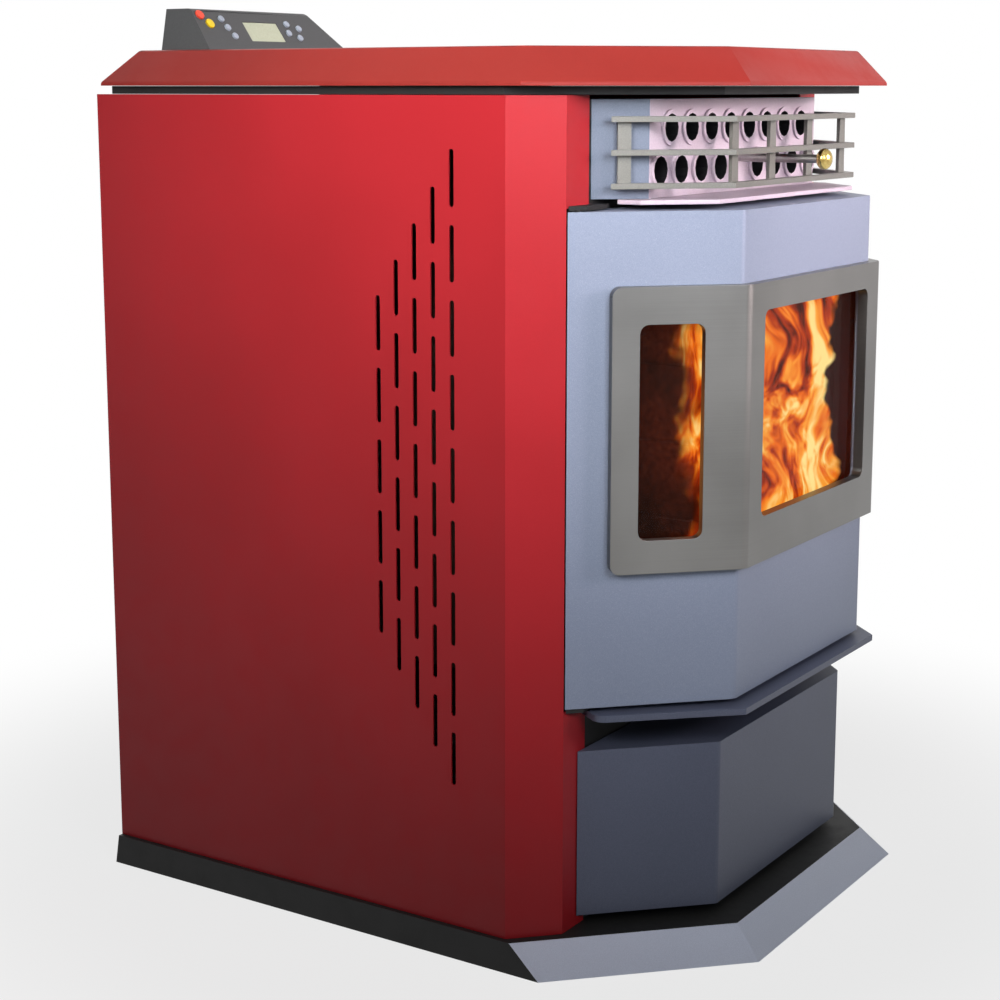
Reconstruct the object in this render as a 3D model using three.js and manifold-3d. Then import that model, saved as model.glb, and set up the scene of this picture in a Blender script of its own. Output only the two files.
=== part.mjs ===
// Pellet stove with a bay door: a sheet-steel casing round a firebox, a tube heat exchanger,
// a hopper with an inclined auger, an exhaust blower and a room-air blower.
// Millimetres, +Z up, front towards -Y, origin on the floor at the centre of the plan box.
import * as THREE from 'three';
import { mergeVertices } from 'three/addons/utils/BufferGeometryUtils.js';
import Module from 'manifold-3d';

const wasm = await Module();
wasm.setup();

// ---------------------------------------------------------------- driving dimensions
const GAP = 0.3;                 // clearance between touching pieces
const SHEET = 1.5;               // casing sheet
const DIAGONAL = Math.SQRT2;

// Casing: side panels with a 45 degree corner strip and a narrow front flange
const CASE_HALF = 290;           // half width over the side panels
const CASE_BACK = 302.5;
const CASE_HEIGHT = 751.2;
const SEAT = 205;                // distance of the front flange plane, which door and drawer close against
const FLANGE_INNER = 215;        // where the front flange ends, from the middle
const REAR_RETURN = 20;
const TOP_RETURN = 20;
const BAY_SUM = 457.5;           // |x| + |y| on the 45 degree planes of door and corner strips

// Slots in the side panels
const SLOT_COLUMNS = [9, 8, 7, 6, 5];
const SLOT_LENGTH = 50;
const SLOT_WIDTH = 5;
const SLOT_PITCH = 65.2;
const SLOT_COLUMN_PITCH = 20;
const SLOT_FRONT_Y = -112;
const SLOT_CENTRE_Z = 447.5;

// Base
const BASE_HEIGHT = 27;
const BASE_HALF = 300;
const BASE_FRONT = 355;
const BASE_SUM = 509;
const BASE_BEVEL = 28;           // inset of the top edge along the bay
const BASE_TAPER = 5;            // inset of the top edge along the sides
const BASE_WALL = 4;
const FOOT_RADIUS = 20;
const FOOT_STEM = 5;
const FOOT_PAD = 6;
const FOOT_INSET = 50;           // from the base's side and back edges to a back foot
const FOOT_FRONT_INSET = 120;
const FOOT_FRONT_Y = -215;
const FOOT_SPOTS = [
  ['front_left', FOOT_FRONT_INSET - BASE_HALF, FOOT_FRONT_Y],
  ['front_right', BASE_HALF - FOOT_FRONT_INSET, FOOT_FRONT_Y],
  ['back_left', FOOT_INSET - BASE_HALF, CASE_BACK - FOOT_INSET],
  ['back_right', BASE_HALF - FOOT_INSET, CASE_BACK - FOOT_INSET],
];
const RAIL_WIDTH = 14;
const RAIL_X = 120;

// Top plate
const SPACER_HEIGHT = 7.4;
const SPACER_INSET = 6;
const SPACER_BAND = 24;
const TOP_HEIGHT = 33.5;
const TOP_HALF = 292.5;
const TOP_FRONT = 326.5;
const TOP_BACK = 294.5;
const TOP_SUM = 477;
const TOP_BEVEL = 27;
const TOP_RIM = 3;
const TOP_WALL = 2.5;

// Hopper lid
const LID_LEFT = -28;
const LID_RIGHT = 238;
const LID_FRONT = 86;
const LID_HINGE_Y = 258;
const LID_REVEAL = 1.5;
const LID_SHEET = 3;
const LID_RIM = 9;
const LEDGE_DROP = 12;           // lid seat below the top surface
const LEDGE_WIDTH = 12;
const KNUCKLE = 2.5;
const ROD = 1.3;
const NOTCH_HALF = 36;
const NOTCH_DEPTH = 17;
const SEAL_HEIGHT = 2.4;
const SEAL_WIDTH = 7;

// Front frame and firebox
const FRAME_SHEET = 3;
const FRAME_HALF = 230;
const FIRE_HALF = 190;
const FIRE_BACK = 38;
const FIRE_FLOOR = 236;
const FIRE_TOP = 773;
const FIRE_WALL = 4;
const MOUTH_HALF = 184;
const MOUTH_LOW = 262;
const MOUTH_HIGH = 658;
const AIRBOX_HALF = 82;
const AIRBOX_FRONT = 120;
const AIRBOX_HEIGHT = 56;
const AIRBOX_WALL = 3;
const SKIRT_HALF = 156;
const SKIRT_FRONT = 186;
const SKIRT_BACK = 12;
const BRICK = 25;
const BRICK_TOP = 630;
const BRICK_COURSE = 84;
const BRICK_LENGTH = 168;
const JOINT_WIDTH = 3;
const JOINT_DEPTH = 2.5;

// Burn pot and igniter
const POT_HALF = 50;
const POT_FRONT = 98;
const POT_BACK = 28;
const POT_DEPTH = 44;
const POT_DRAFT = 10;
const POT_WALL = 3;
const POT_RIM = 9;
const IGNITER_X = 22;
const IGNITER_RADIUS = 5;
const AIR_X = -56;
const AIR_Z = 266;
const AIR_RADIUS = 18;
const AIR_REACH = 330;

// Door
const DOOR_LOW = 239;
const DOOR_HIGH = 680;
const DOOR_WALL = 3;
const DOOR_FRONT = 318;
const DOOR_RING = 8;
const SEAL_CENTRE = 200;         // gasket centre line from the middle
const SEAL_ROPE = 10;
const SEAL_LAND = 11.3;          // gasket centre line beyond the mouth, above and below
const GROOVE = 5;
const HINGE_X = -243;
const HINGE_Y = -210;
const PIN = 2.5;
const PIN_REACH = 4.6;
const LUG = 4;
const TRIM_LOW = 362;
const TRIM_HIGH = 616;
const TRIM_PROUD = 10;
const TRIM_END = 121;            // trim's end along the facet, from the door's fold
const TRIM_CORNER = 9;
const SIDE_WINDOW = [37, 96, 392, 583];
const FRONT_WINDOW = [-115, 115, 404, 591];
const WINDOW_CORNER = 8;
const WINDOW_STEP = 3;           // the door's own cut-outs are this much larger than the trim's
const PANE = 5;
const PANE_LAP = 10;

// Latch on the right of the door
const LATCH_X = 228;
const LATCH_Z = 340;
const SPINDLE = 4;
const CAM_REACH = 22;
const CAM_WIDTH = 8;
const LEVER_LENGTH = 96;
const LEVER_STAND = 37;          // lever's distance in front of the facet, clear of the trim

// Ash drawer and ash lip
const DRAWER_LOW = 36.7;
const DRAWER_HIGH = 193.6;
const DRAWER_FRONT = 301;
const DRAWER_SUM = 435;
const DRAWER_WALL = 2;
const PAN_HALF = 170;
const PAN_FRONT = 240;
const PAN_BACK = 18;
const PAN_TOP = 180;
const PAN_WALL = 1.5;
const ASH_MOUTH_HALF = 178;
const ASH_MOUTH_HIGH = 187;
const LIP_LOW = 228;
const LIP_HIGH = 234;
const LIP_FRONT = 332.5;
const LIP_SUM = 477.5;
const LIP_END = 238;
const LIP_ROUND = 9;

// Heat exchanger, grille, sill and scraper
const HEADER_LOW = 689;
const HEADER_HIGH = 775;
const HEADER_FRONT = 240.5;
const HEADER_SUM = 412.5;
const HEADER_WALL = 3;
const TUBE_OUTER = 16;
const TUBE_BORE = 12.5;
const TUBE_PROUD = 2.5;
const TUBE_BACK = 45;
const TUBE_PITCH = 38.7;
const UPPER_ROW = [-3.5, -2.5, -1.5, -0.5, 0.5, 1.5, 2.5, 3.5];
const LOWER_ROW = [-4, -3, -2, -1, 1, 2, 3, 4];
const UPPER_Z = 750;
const LOWER_Z = 713;
const GRILLE_SUM = 432.5;
const GRILLE_FRONT = 303.5;
const GRILLE_END = 209;
const BAR_DEPTH = 8;
const BAR_HEIGHT = 5;
const BAR_LEVELS = [700.5, 729.3, 758];
const UPRIGHT = 12;
const UPRIGHT_SHEET = 3;
const UPRIGHT_SPOTS = [-116, -40, 40, 116];
const SILL_SHEET = 4;
const SILL_FRONT = 296;
const SILL_SUM = 440;
const SILL_BACK = 222;
const SILL_HALF = 195;
const SCRAPER_ROD = 4;
const SCRAPER_Z = 720;
const SCRAPER_BACK = 24;
const SCRAPER_HALF = 180;
const SCRAPER_SHEET = 3;
const KNOB = 10;
const KNOB_FRONT = 341.5;

// Hopper and auger
const HOPPER_SHEET = 1.5;
const HOPPER_BEND = 620;
const THROAT_TOP = 400;
const THROAT_Y = 160;
const THROAT_HALF = 26;
const AUGER_FOOT = [212, 190];   // y and z of the auger's lower end
const AUGER_HEAD = [78, 400];
const AUGER_BORE = 31.5;
const AUGER_WALL = 3.5;
const SCREW_RADIUS = 28;
const SCREW_SHAFT = 8;
const SCREW_PITCH = 50;
const SCREW_FLIGHT = 4;
const CHUTE_HALF = 26;
const CHUTE_WALL = 3;
const CHUTE_SLOPE = 38;          // degrees below level
const GEARBOX = [38, 32, 36];    // half width, half height, length along the auger
const GEAR_MOTOR = [27, 44];     // radius and length

// Exhaust
const DUCT_LEFT = -186;
const DUCT_RIGHT = -104;
const DUCT_DEPTH = 32;
const DUCT_LOW = 240;
const DUCT_HIGH = 686;
const FLUE_HOLE_LOW = 642;
const FAN_X = -145;
const FAN_Z = 310;
const FAN_DEPTH = 54;
const FAN_INNER = 50;            // scroll radius at the tongue
const FAN_OUTER = 72;
const FAN_WALL = 2.5;
const FAN_EYE = 28;
const FLUE_X = -181;
const FLUE_Z = 205;
const FLUE_RADIUS = 38;
const FLUE_WALL = 2;
const FLUE_REACH = 355;
const IMPELLER = 44;
const IMPELLER_BLADES = 10;
const FAN_SHAFT = 4;
const FAN_MOTOR = [34, 62];

// Room-air blower
const BLOWER_Y = 125.5;
const BLOWER_Z = 112;
const BLOWER_LEFT = 116;
const BLOWER_RIGHT = 194;
const BLOWER_INNER = 46;
const BLOWER_OUTER = 77.5;
const BLOWER_TOP = 174.7;
const WHEEL = 41;
const WHEEL_BLADES = 18;
const BLOWER_MOTOR = [30, 54];
const PLENUM_LOW = 690;
const PLENUM_HIGH = 772;
const PLENUM_DEPTH = 54;
const PLENUM_LEFT = -184;

// Control console on the rear left of the top plate
const CONSOLE_LEFT = -250;
const CONSOLE_RIGHT = -34;
const CONSOLE_FRONT = 192.5;
const CONSOLE_BACK = 254;
const CONSOLE_HEIGHT = 39;
const CONSOLE_LEAN = 28;         // how far the face leans back over its height
const CONSOLE_LEFT_TAPER = 5;
const CONSOLE_RIGHT_TAPER = 36;
const SCREEN = [-179, -127, 11.5, 34.5];
const SCREEN_DEPTH = 3;
const KEY_POCKET = 5;
const KEY_PROUD = 1.8;
const KEY_CLEARANCE = 0.35;
const KEYS = [
  ['start_button', -237, 40.5, 5, 'red'], ['stop_button', -229, 30.5, 5, 'yellow'],
  ['left_key_top', -209, 36.5, 3.6, 'key'], ['left_key_middle', -206, 26.5, 3.6, 'key'],
  ['left_key_bottom', -202, 16.5, 3.6, 'key'],
  ['right_key_up', -112, 33, 3.6, 'key'], ['right_key_left', -116, 22, 3.6, 'key'],
  ['right_key_right', -96, 28, 3.6, 'key'], ['right_key_down', -102, 16.5, 3.6, 'key']];

// Power inlet in the back panel
const INLET_X = 215;
const INLET_Z = 332;
const INLET_HALF = [14, 12];

// ---------------------------------------------------------------- shape helpers
const CASE_LOW = BASE_HEIGHT + GAP;
const CASE_TOP = CASE_LOW + CASE_HEIGHT;
const TOP_LOW = CASE_TOP + GAP + SPACER_HEIGHT + GAP;
const TOP_SURFACE = TOP_LOW + TOP_HEIGHT;
const FRAME_FRONT = SEAT - SHEET - GAP;          // distances in front of the axis plane
const FRAME_REAR = FRAME_FRONT - FRAME_SHEET;
const DOOR_BACK = SEAT + 1;

// A solid from any closed geometry, its faces turned outwards
function toSolid(geometry) {
  const bare = geometry.index ? geometry.toNonIndexed() : geometry.clone();
  bare.deleteAttribute('normal');
  bare.deleteAttribute('uv');
  const merged = mergeVertices(bare, 1e-4);
  const place = merged.attributes.position;
  const order = Array.from(merged.index.array);
  const a = new THREE.Vector3();
  const b = new THREE.Vector3();
  const c = new THREE.Vector3();
  const corners = [];
  let volume = 0;
  for (let i = 0; i < order.length; i += 3) {
    const [p, q, r] = order.slice(i, i + 3);
    if (p === q || q === r || r === p) continue;
    a.fromBufferAttribute(place, p);
    b.fromBufferAttribute(place, q);
    c.fromBufferAttribute(place, r);
    volume += a.dot(b.cross(c));
    corners.push([p, q, r]);
  }
  const turned = volume < 0 ? corners.map(([p, q, r]) => [p, r, q]) : corners;
  return new wasm.Manifold(new wasm.Mesh({
    numProp: 3,
    vertProperties: new Float32Array(place.array),
    triVerts: new Uint32Array(turned.flat()),
  }));
}

function toGeometry(solid) {
  const mesh = solid.getMesh();
  const geometry = new THREE.BufferGeometry();
  geometry.setAttribute('position', new THREE.BufferAttribute(new Float32Array(mesh.vertProperties), 3));
  geometry.setIndex(new THREE.BufferAttribute(new Uint32Array(mesh.triVerts), 1));
  geometry.computeVertexNormals();
  return geometry;
}

const join = (first, ...others) => others.reduce((whole, other) => whole.add(other), first);
const cut = (first, ...others) => others.reduce((whole, other) => whole.subtract(other), first);

function sketch(points, holes = []) {
  const shape = new THREE.Shape(points.map(([x, y]) => new THREE.Vector2(x, y)));
  shape.holes = holes.map((hole) => new THREE.Path(hole.map(([x, y]) => new THREE.Vector2(x, y))));
  return shape;
}

const flat = (depth) => ({ depth, bevelEnabled: false, steps: 1 });

// A plan outline drawn up from z = low to z = high
function prism(points, low, high, holes = []) {
  const geometry = new THREE.ExtrudeGeometry(sketch(points, holes), flat(high - low));
  geometry.translate(0, 0, low);
  return toSolid(geometry);
}

// Outlines in (y, z), drawn along X; several outlines make several bodies in one solid
function alongX(outlines, from, to) {
  const geometry = new THREE.ExtrudeGeometry(outlines.map((points) => sketch(points)), flat(to - from));
  geometry.translate(0, 0, from);
  geometry.applyMatrix4(new THREE.Matrix4().set(0, 0, 1, 0, 1, 0, 0, 0, 0, 1, 0, 0, 0, 0, 0, 1));
  return toSolid(geometry);
}

// Outlines in (x, z), drawn along Y
function alongY(outlines, from, to) {
  const geometry = new THREE.ExtrudeGeometry(outlines.map((points) => sketch(points)), flat(to - from));
  geometry.translate(0, 0, -to);
  geometry.applyMatrix4(new THREE.Matrix4().set(1, 0, 0, 0, 0, 0, -1, 0, 0, 1, 0, 0, 0, 0, 0, 1));
  return toSolid(geometry);
}

function box(x0, x1, y0, y1, z0, z1) {
  const geometry = new THREE.BoxGeometry(x1 - x0, y1 - y0, z1 - z0);
  geometry.translate((x0 + x1) / 2, (y0 + y1) / 2, (z0 + z1) / 2);
  return toSolid(geometry);
}

// A round bar between two points
function bar(radius, from, to, sides = 20) {
  const start = new THREE.Vector3(...from);
  const end = new THREE.Vector3(...to);
  const way = end.clone().sub(start);
  const geometry = new THREE.CylinderGeometry(radius, radius, way.length(), sides);
  const turn = new THREE.Quaternion().setFromUnitVectors(new THREE.Vector3(0, 1, 0), way.clone().normalize());
  geometry.applyQuaternion(turn);
  const middle = start.add(end).multiplyScalar(0.5);
  geometry.translate(middle.x, middle.y, middle.z);
  return toSolid(geometry);
}

// A turned shape about a line through 'origin' along 'axis'; the profile is [radius, distance]
function turned(profile, origin, axis, sides = 24) {
  const points = profile.map(([radius, along]) => new THREE.Vector2(radius, along));
  const geometry = new THREE.LatheGeometry(points, sides);
  const way = new THREE.Vector3(...axis).normalize();
  geometry.applyQuaternion(new THREE.Quaternion().setFromUnitVectors(new THREE.Vector3(0, 1, 0), way));
  geometry.translate(...origin);
  return toSolid(geometry);
}

// A tapered block between two plan outlines with the same number of corners
function frustum(lower, low, upper, high) {
  const count = lower.length;
  const ring = (points, z) => points.map(([x, y]) => [x, y, z]);
  const corners = [...ring(lower, low), ...ring(upper, high)];
  const faces = [];
  for (let i = 0; i < count; i += 1) {
    const next = (i + 1) % count;
    faces.push([i, next, count + next], [i, count + next, count + i]);
  }
  const flatten = (points) => points.map(([x, y]) => new THREE.Vector2(x, y));
  for (const [p, q, r] of THREE.ShapeUtils.triangulateShape(flatten(lower), [])) faces.push([p, r, q]);
  for (const [p, q, r] of THREE.ShapeUtils.triangulateShape(flatten(upper), [])) {
    faces.push([count + p, count + q, count + r]);
  }
  const geometry = new THREE.BufferGeometry();
  geometry.setAttribute('position', new THREE.Float32BufferAttribute(corners.flat(), 3));
  geometry.setIndex(faces.flat());
  return toSolid(geometry);
}

const rectangle = (x0, x1, y0, y1) => [[x0, y0], [x1, y0], [x1, y1], [x0, y1]];

function rounded(x0, x1, y0, y1, radius, steps = 4) {
  const points = [];
  const centres = [[x1 - radius, y0 + radius, -90], [x1 - radius, y1 - radius, 0],
    [x0 + radius, y1 - radius, 90], [x0 + radius, y0 + radius, 180]];
  for (const [x, y, start] of centres) {
    for (let i = 0; i <= steps; i += 1) {
      const angle = THREE.MathUtils.degToRad(start + 90 * i / steps);
      points.push([x + radius * Math.cos(angle), y + radius * Math.sin(angle)]);
    }
  }
  return points.filter(([x, y], i) => {
    const [u, v] = points[(i + 1) % points.length];
    return Math.hypot(u - x, v - y) > 1e-3;
  });
}

const mirrored = (points) => points.map(([x, y]) => [-x, y]);

// Plan of a bay: flat front at y = -front, 45 degree facets on |x| + |y| = sum, back edge at y = -back
function bay(front, sum, back, half = sum - back) {
  const side = half < sum - back ? [[-half, -(sum - half)]] : [];
  const left = [[-half, -back], ...side, [-(sum - front), -front]];
  return [...left, ...mirrored(left).reverse()];
}

const inward = (sum, wall) => sum - wall * DIAGONAL;

// Frames on the three faces of a bay: 'u' runs to the right, 'n' outwards, origin on the fold
function faceFrame(face, front, sum) {
  const fold = sum - front;
  const slant = 1 / DIAGONAL;
  const along = { left: [slant, -slant], front: [1, 0], right: [slant, slant] }[face];
  const outward = { left: [-slant, -slant], front: [0, -1], right: [slant, -slant] }[face];
  const start = { left: [-fold, -front], front: [0, -front], right: [fold, -front] }[face];
  return new THREE.Matrix4().set(
    along[0], 0, outward[0], start[0],
    along[1], 0, outward[1], start[1],
    0, 1, 0, 0,
    0, 0, 0, 1,
  );
}

// An outline in (u, z) on one face of a bay, from 'inner' to 'outer' along its normal
function onFace(face, points, inner, outer, front = DOOR_FRONT, sum = BAY_SUM) {
  const geometry = new THREE.ExtrudeGeometry(sketch(points), flat(outer - inner));
  geometry.translate(0, 0, inner);
  geometry.applyMatrix4(faceFrame(face, front, sum));
  return toSolid(geometry);
}

// Spiral housing outline about a centre, with a straight outlet on the low side of 'a' towards +b
function scroll(a0, b0, tongue, reach, outlet, shrink, steps = 20) {
  const points = [];
  for (let i = 0; i <= steps; i += 1) {
    const share = i / steps;
    const angle = THREE.MathUtils.degToRad(135 - 315 * share);
    const radius = tongue + (reach - tongue) * share - shrink;
    points.push([a0 + radius * Math.cos(angle), b0 + radius * Math.sin(angle)]);
  }
  const rear = points[0][0];
  points.push([points[steps][0], outlet], [rear, outlet]);
  return points;
}

// ---------------------------------------------------------------- casing
function sidePanel(side) {
  const shoulder = BAY_SUM - CASE_HALF;
  const corner = BAY_SUM - SEAT;
  const wall = CASE_HALF - SHEET;
  const innerSum = inward(BAY_SUM, SHEET);
  const profile = [
    [CASE_HALF - REAR_RETURN, CASE_BACK], [CASE_HALF, CASE_BACK], [CASE_HALF, -shoulder],
    [corner, -SEAT], [FLANGE_INNER, -SEAT], [FLANGE_INNER, SHEET - SEAT],
    [innerSum - SEAT + SHEET, SHEET - SEAT], [wall, wall - innerSum],
    [wall, CASE_BACK - SHEET], [CASE_HALF - REAR_RETURN, CASE_BACK - SHEET]];
  const inset = CASE_HALF - TOP_RETURN;
  const topReturn = [
    [inset, CASE_BACK - SHEET / 2], [CASE_HALF - SHEET / 2, CASE_BACK - SHEET / 2],
    [CASE_HALF - SHEET / 2, -shoulder], [corner, SHEET / 2 - SEAT],
    [FLANGE_INNER, SHEET / 2 - SEAT], [FLANGE_INNER, TOP_RETURN - SEAT],
    [corner - TOP_RETURN / 2, TOP_RETURN - SEAT], [inset, -shoulder + TOP_RETURN / 2]];
  const facing = (points) => (side > 0 ? points : mirrored(points));
  const shell = join(prism(facing(profile), CASE_LOW, CASE_TOP),
    prism(facing(topReturn), CASE_TOP - SHEET, CASE_TOP));
  const slots = [];
  SLOT_COLUMNS.forEach((count, column) => {
    const y = SLOT_FRONT_Y + column * SLOT_COLUMN_PITCH;
    for (let i = 0; i < count; i += 1) {
      const z = SLOT_CENTRE_Z + (i - (count - 1) / 2) * SLOT_PITCH;
      slots.push(rounded(y - SLOT_WIDTH / 2, y + SLOT_WIDTH / 2,
        z - SLOT_LENGTH / 2, z + SLOT_LENGTH / 2, SLOT_WIDTH / 2, 2));
    }
  });
  const reach = [CASE_HALF - 2 * SHEET, CASE_HALF + SHEET];
  const slotted = cut(shell, side > 0 ? alongX(slots, ...reach) : alongX(slots, -reach[1], -reach[0]));
  return side > 0 ? cut(slotted, latchSlot()) : cut(slotted, hingeRelief(corner));
}

// Room behind the left flange for the door's edge as it turns
function hingeRelief(corner) {
  const swing = Math.hypot(BAY_SUM - DOOR_BACK + HINGE_X, DOOR_BACK + HINGE_Y) + 1.5;
  return box(-corner + GAP, HINGE_X + swing, -SEAT - SHEET, -SEAT + 2 * SHEET, DOOR_LOW - 3, DOOR_HIGH + 3);
}

// Vertical slot for the latch cam, through the right flange and the frame behind it
function latchSlot() {
  return box(LATCH_X - CAM_WIDTH / 2 - 3, LATCH_X + CAM_WIDTH / 2 + 3, -SEAT - 2 * SHEET, -FRAME_REAR + SHEET,
    LATCH_Z - SPINDLE - 3, LATCH_Z + CAM_REACH + 3);
}

function basePedestal() {
  const plan = (grow, front, sum, half) => bay(front + grow, sum + grow * DIAGONAL, -CASE_BACK, half + grow);
  const low = (grow) => plan(grow, BASE_FRONT, BASE_SUM, BASE_HALF);
  const high = (grow) => plan(grow, BASE_FRONT - BASE_BEVEL, inward(BASE_SUM, BASE_BEVEL),
    BASE_HALF - BASE_TAPER);
  const shell = frustum(low(0), 0, high(0), BASE_HEIGHT);
  const hollow = frustum(backFrom(low(-BASE_WALL), BASE_WALL), -GAP,
    backFrom(high(-BASE_WALL), BASE_WALL), BASE_HEIGHT - BASE_WALL);
  let base = cut(shell, hollow);
  for (const [, x, y] of FOOT_SPOTS) {
    base = join(base, bar(3 * FOOT_STEM, [x, y, 2 * FOOT_PAD], [x, y, BASE_HEIGHT - BASE_WALL / 2], 12));
    base = cut(base, bar(FOOT_STEM + GAP, [x, y, 0], [x, y, BASE_HEIGHT - BASE_WALL + GAP], 12));
  }
  const railTop = DRAWER_LOW + DRAWER_WALL;
  for (const x of [-RAIL_X, RAIL_X]) {
    base = join(base, box(x - RAIL_WIDTH / 2, x + RAIL_WIDTH / 2, -FRAME_REAR + SHEET, PAN_BACK,
      BASE_HEIGHT - BASE_WALL / 2, railTop));
  }
  return base;
}

// Moves the straight back edge of a plan forwards by a wall
function backFrom(points, wall) {
  return points.map(([x, y]) => (y > 0 ? [x, y - wall] : [x, y]));
}

function levellingFoot(x, y) {
  const stemTop = BASE_HEIGHT - BASE_WALL;
  return turned([[0, 0], [FOOT_RADIUS - 2, 0], [FOOT_RADIUS, 2], [FOOT_RADIUS - 3, FOOT_PAD],
    [FOOT_STEM, FOOT_PAD + 1], [FOOT_STEM, stemTop], [0, stemTop]], [x, y, 0], [0, 0, 1], 12);
}

function backPanel() {
  const half = CASE_HALF - SHEET - GAP;
  const rear = CASE_BACK - SHEET - GAP;
  const panel = alongY([rectangle(-half, half, CASE_LOW, CASE_TOP - SHEET - GAP)], rear - SHEET, rear);
  const holes = [];
  const vents = (x0, x1, low, rows, pitch) => {
    for (let i = 0; i < rows; i += 1) {
      holes.push(rounded(x0, x1, low + i * pitch, low + i * pitch + 5, 2.5, 2));
    }
  };
  vents(100, 210, BLOWER_Z - 60, 9, 13);
  vents(-40, 40, 60, 6, 13);
  vents(140 - CASE_HALF, CASE_HALF - 140, 700, 4, 13);
  holes.push(rectangle(INLET_X - INLET_HALF[0] - GAP, INLET_X + INLET_HALF[0] + GAP,
    INLET_Z - INLET_HALF[1] - GAP, INLET_Z + INLET_HALF[1] + GAP));
  return cut(panel, alongY(holes, rear - 2 * SHEET, rear + SHEET),
    bar(FLUE_RADIUS + GAP, [FLUE_X, rear - 5, FLUE_Z], [FLUE_X, rear + 5, FLUE_Z], 24),
    bar(AIR_RADIUS + GAP, [AIR_X, rear - 5, AIR_Z], [AIR_X, rear + 5, AIR_Z], 20));
}

function powerInlet() {
  const rear = CASE_BACK - SHEET - GAP;
  const [wide, high] = INLET_HALF;
  const body = box(INLET_X - wide, INLET_X + wide, rear - 18, rear + 2, INLET_Z - high, INLET_Z + high);
  const flange = alongY([rounded(INLET_X - wide - 8, INLET_X + wide + 8, INLET_Z - high - 3,
    INLET_Z + high + 3, 4)], rear + GAP, rear + 2.3);
  const socket = alongY([[[INLET_X - 11, INLET_Z - 8], [INLET_X + 11, INLET_Z - 8], [INLET_X + 11, INLET_Z + 3],
    [INLET_X + 6, INLET_Z + 8], [INLET_X - 6, INLET_Z + 8], [INLET_X - 11, INLET_Z + 3]]], rear - 14, rear + 4);
  let inlet = cut(join(body, flange), socket);
  for (const [x, z] of [[-6, -2], [0, 3], [6, -2]]) {
    inlet = join(inlet, box(INLET_X + x - 1, INLET_X + x + 1, rear - 15, rear - 2, INLET_Z + z - 2.5,
      INLET_Z + z + 2.5));
  }
  return inlet;
}

// ---------------------------------------------------------------- top plate, lid and console
function spacerFrame() {
  const low = CASE_TOP + GAP;
  const half = CASE_HALF - SPACER_INSET;
  const sum = BAY_SUM - 2 * SPACER_INSET;
  const front = TOP_FRONT - TOP_BEVEL;
  const ring = bay(front, sum, -(TOP_BACK - SPACER_INSET), half);
  const hole = bay(front - SPACER_BAND, inward(sum, SPACER_BAND), SPACER_BAND + SPACER_INSET - TOP_BACK,
    half - SPACER_BAND);
  return prism(ring, low, low + SPACER_HEIGHT, [hole]);
}

const lidPocket = () => [LID_LEFT - LID_REVEAL, LID_RIGHT + LID_REVEAL, LID_FRONT - LID_REVEAL,
  LID_HINGE_Y + KNUCKLE + LID_REVEAL];
const hopperMouth = () => [LID_LEFT + LEDGE_WIDTH, LID_RIGHT - LEDGE_WIDTH, LID_FRONT + NOTCH_DEPTH + 2,
  LID_HINGE_Y - LEDGE_WIDTH];

function topPlate() {
  const plan = (inset) => bay(TOP_FRONT - inset, inward(TOP_SUM, inset), inset - TOP_BACK, TOP_HALF - inset);
  const bevelled = (wall) => join(
    prism(plan(wall), TOP_LOW - (wall ? GAP : 0), TOP_LOW + TOP_RIM),
    frustum(plan(wall), TOP_LOW + TOP_RIM, plan(TOP_BEVEL + wall / 2), TOP_SURFACE - wall));
  const [left, right, front, back] = lidPocket();
  const ledge = TOP_SURFACE - LEDGE_DROP;
  const well = box(left - TOP_WALL, right + TOP_WALL, front - TOP_WALL, back + TOP_WALL, ledge - 2,
    TOP_SURFACE - TOP_WALL / 2);
  let plate = join(cut(bevelled(0), bevelled(TOP_WALL)), well);
  plate = cut(plate, box(left, right, front, back, ledge, TOP_SURFACE + 5));
  plate = cut(plate, prism(rectangle(...hopperMouth()), ledge - 5, ledge + 5));
  const axis = TOP_SURFACE - KNUCKLE - 0.2;
  for (const [x0, x1] of knuckleSpots().map(([a, b]) => [[a - 4 - GAP, a - GAP], [b + GAP, b + 4 + GAP]]).flat()) {
    plate = join(plate, bar(KNUCKLE, [x0, LID_HINGE_Y, axis], [x1, LID_HINGE_Y, axis], 16),
      box(x0, x1, LID_HINGE_Y, back + TOP_WALL / 2, axis - 1.8, axis + KNUCKLE - 0.3));
  }
  for (const [x0, x1] of knuckleSpots()) {
    plate = join(plate, bar(ROD, [x0 - 2, LID_HINGE_Y, axis], [x1 + 2, LID_HINGE_Y, axis], 12));
  }
  return plate;
}

// The lid's two hinge knuckles, as spans along X
const knuckleSpots = () => [[LID_LEFT + 30, LID_LEFT + 52], [LID_RIGHT - 52, LID_RIGHT - 30]];

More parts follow.
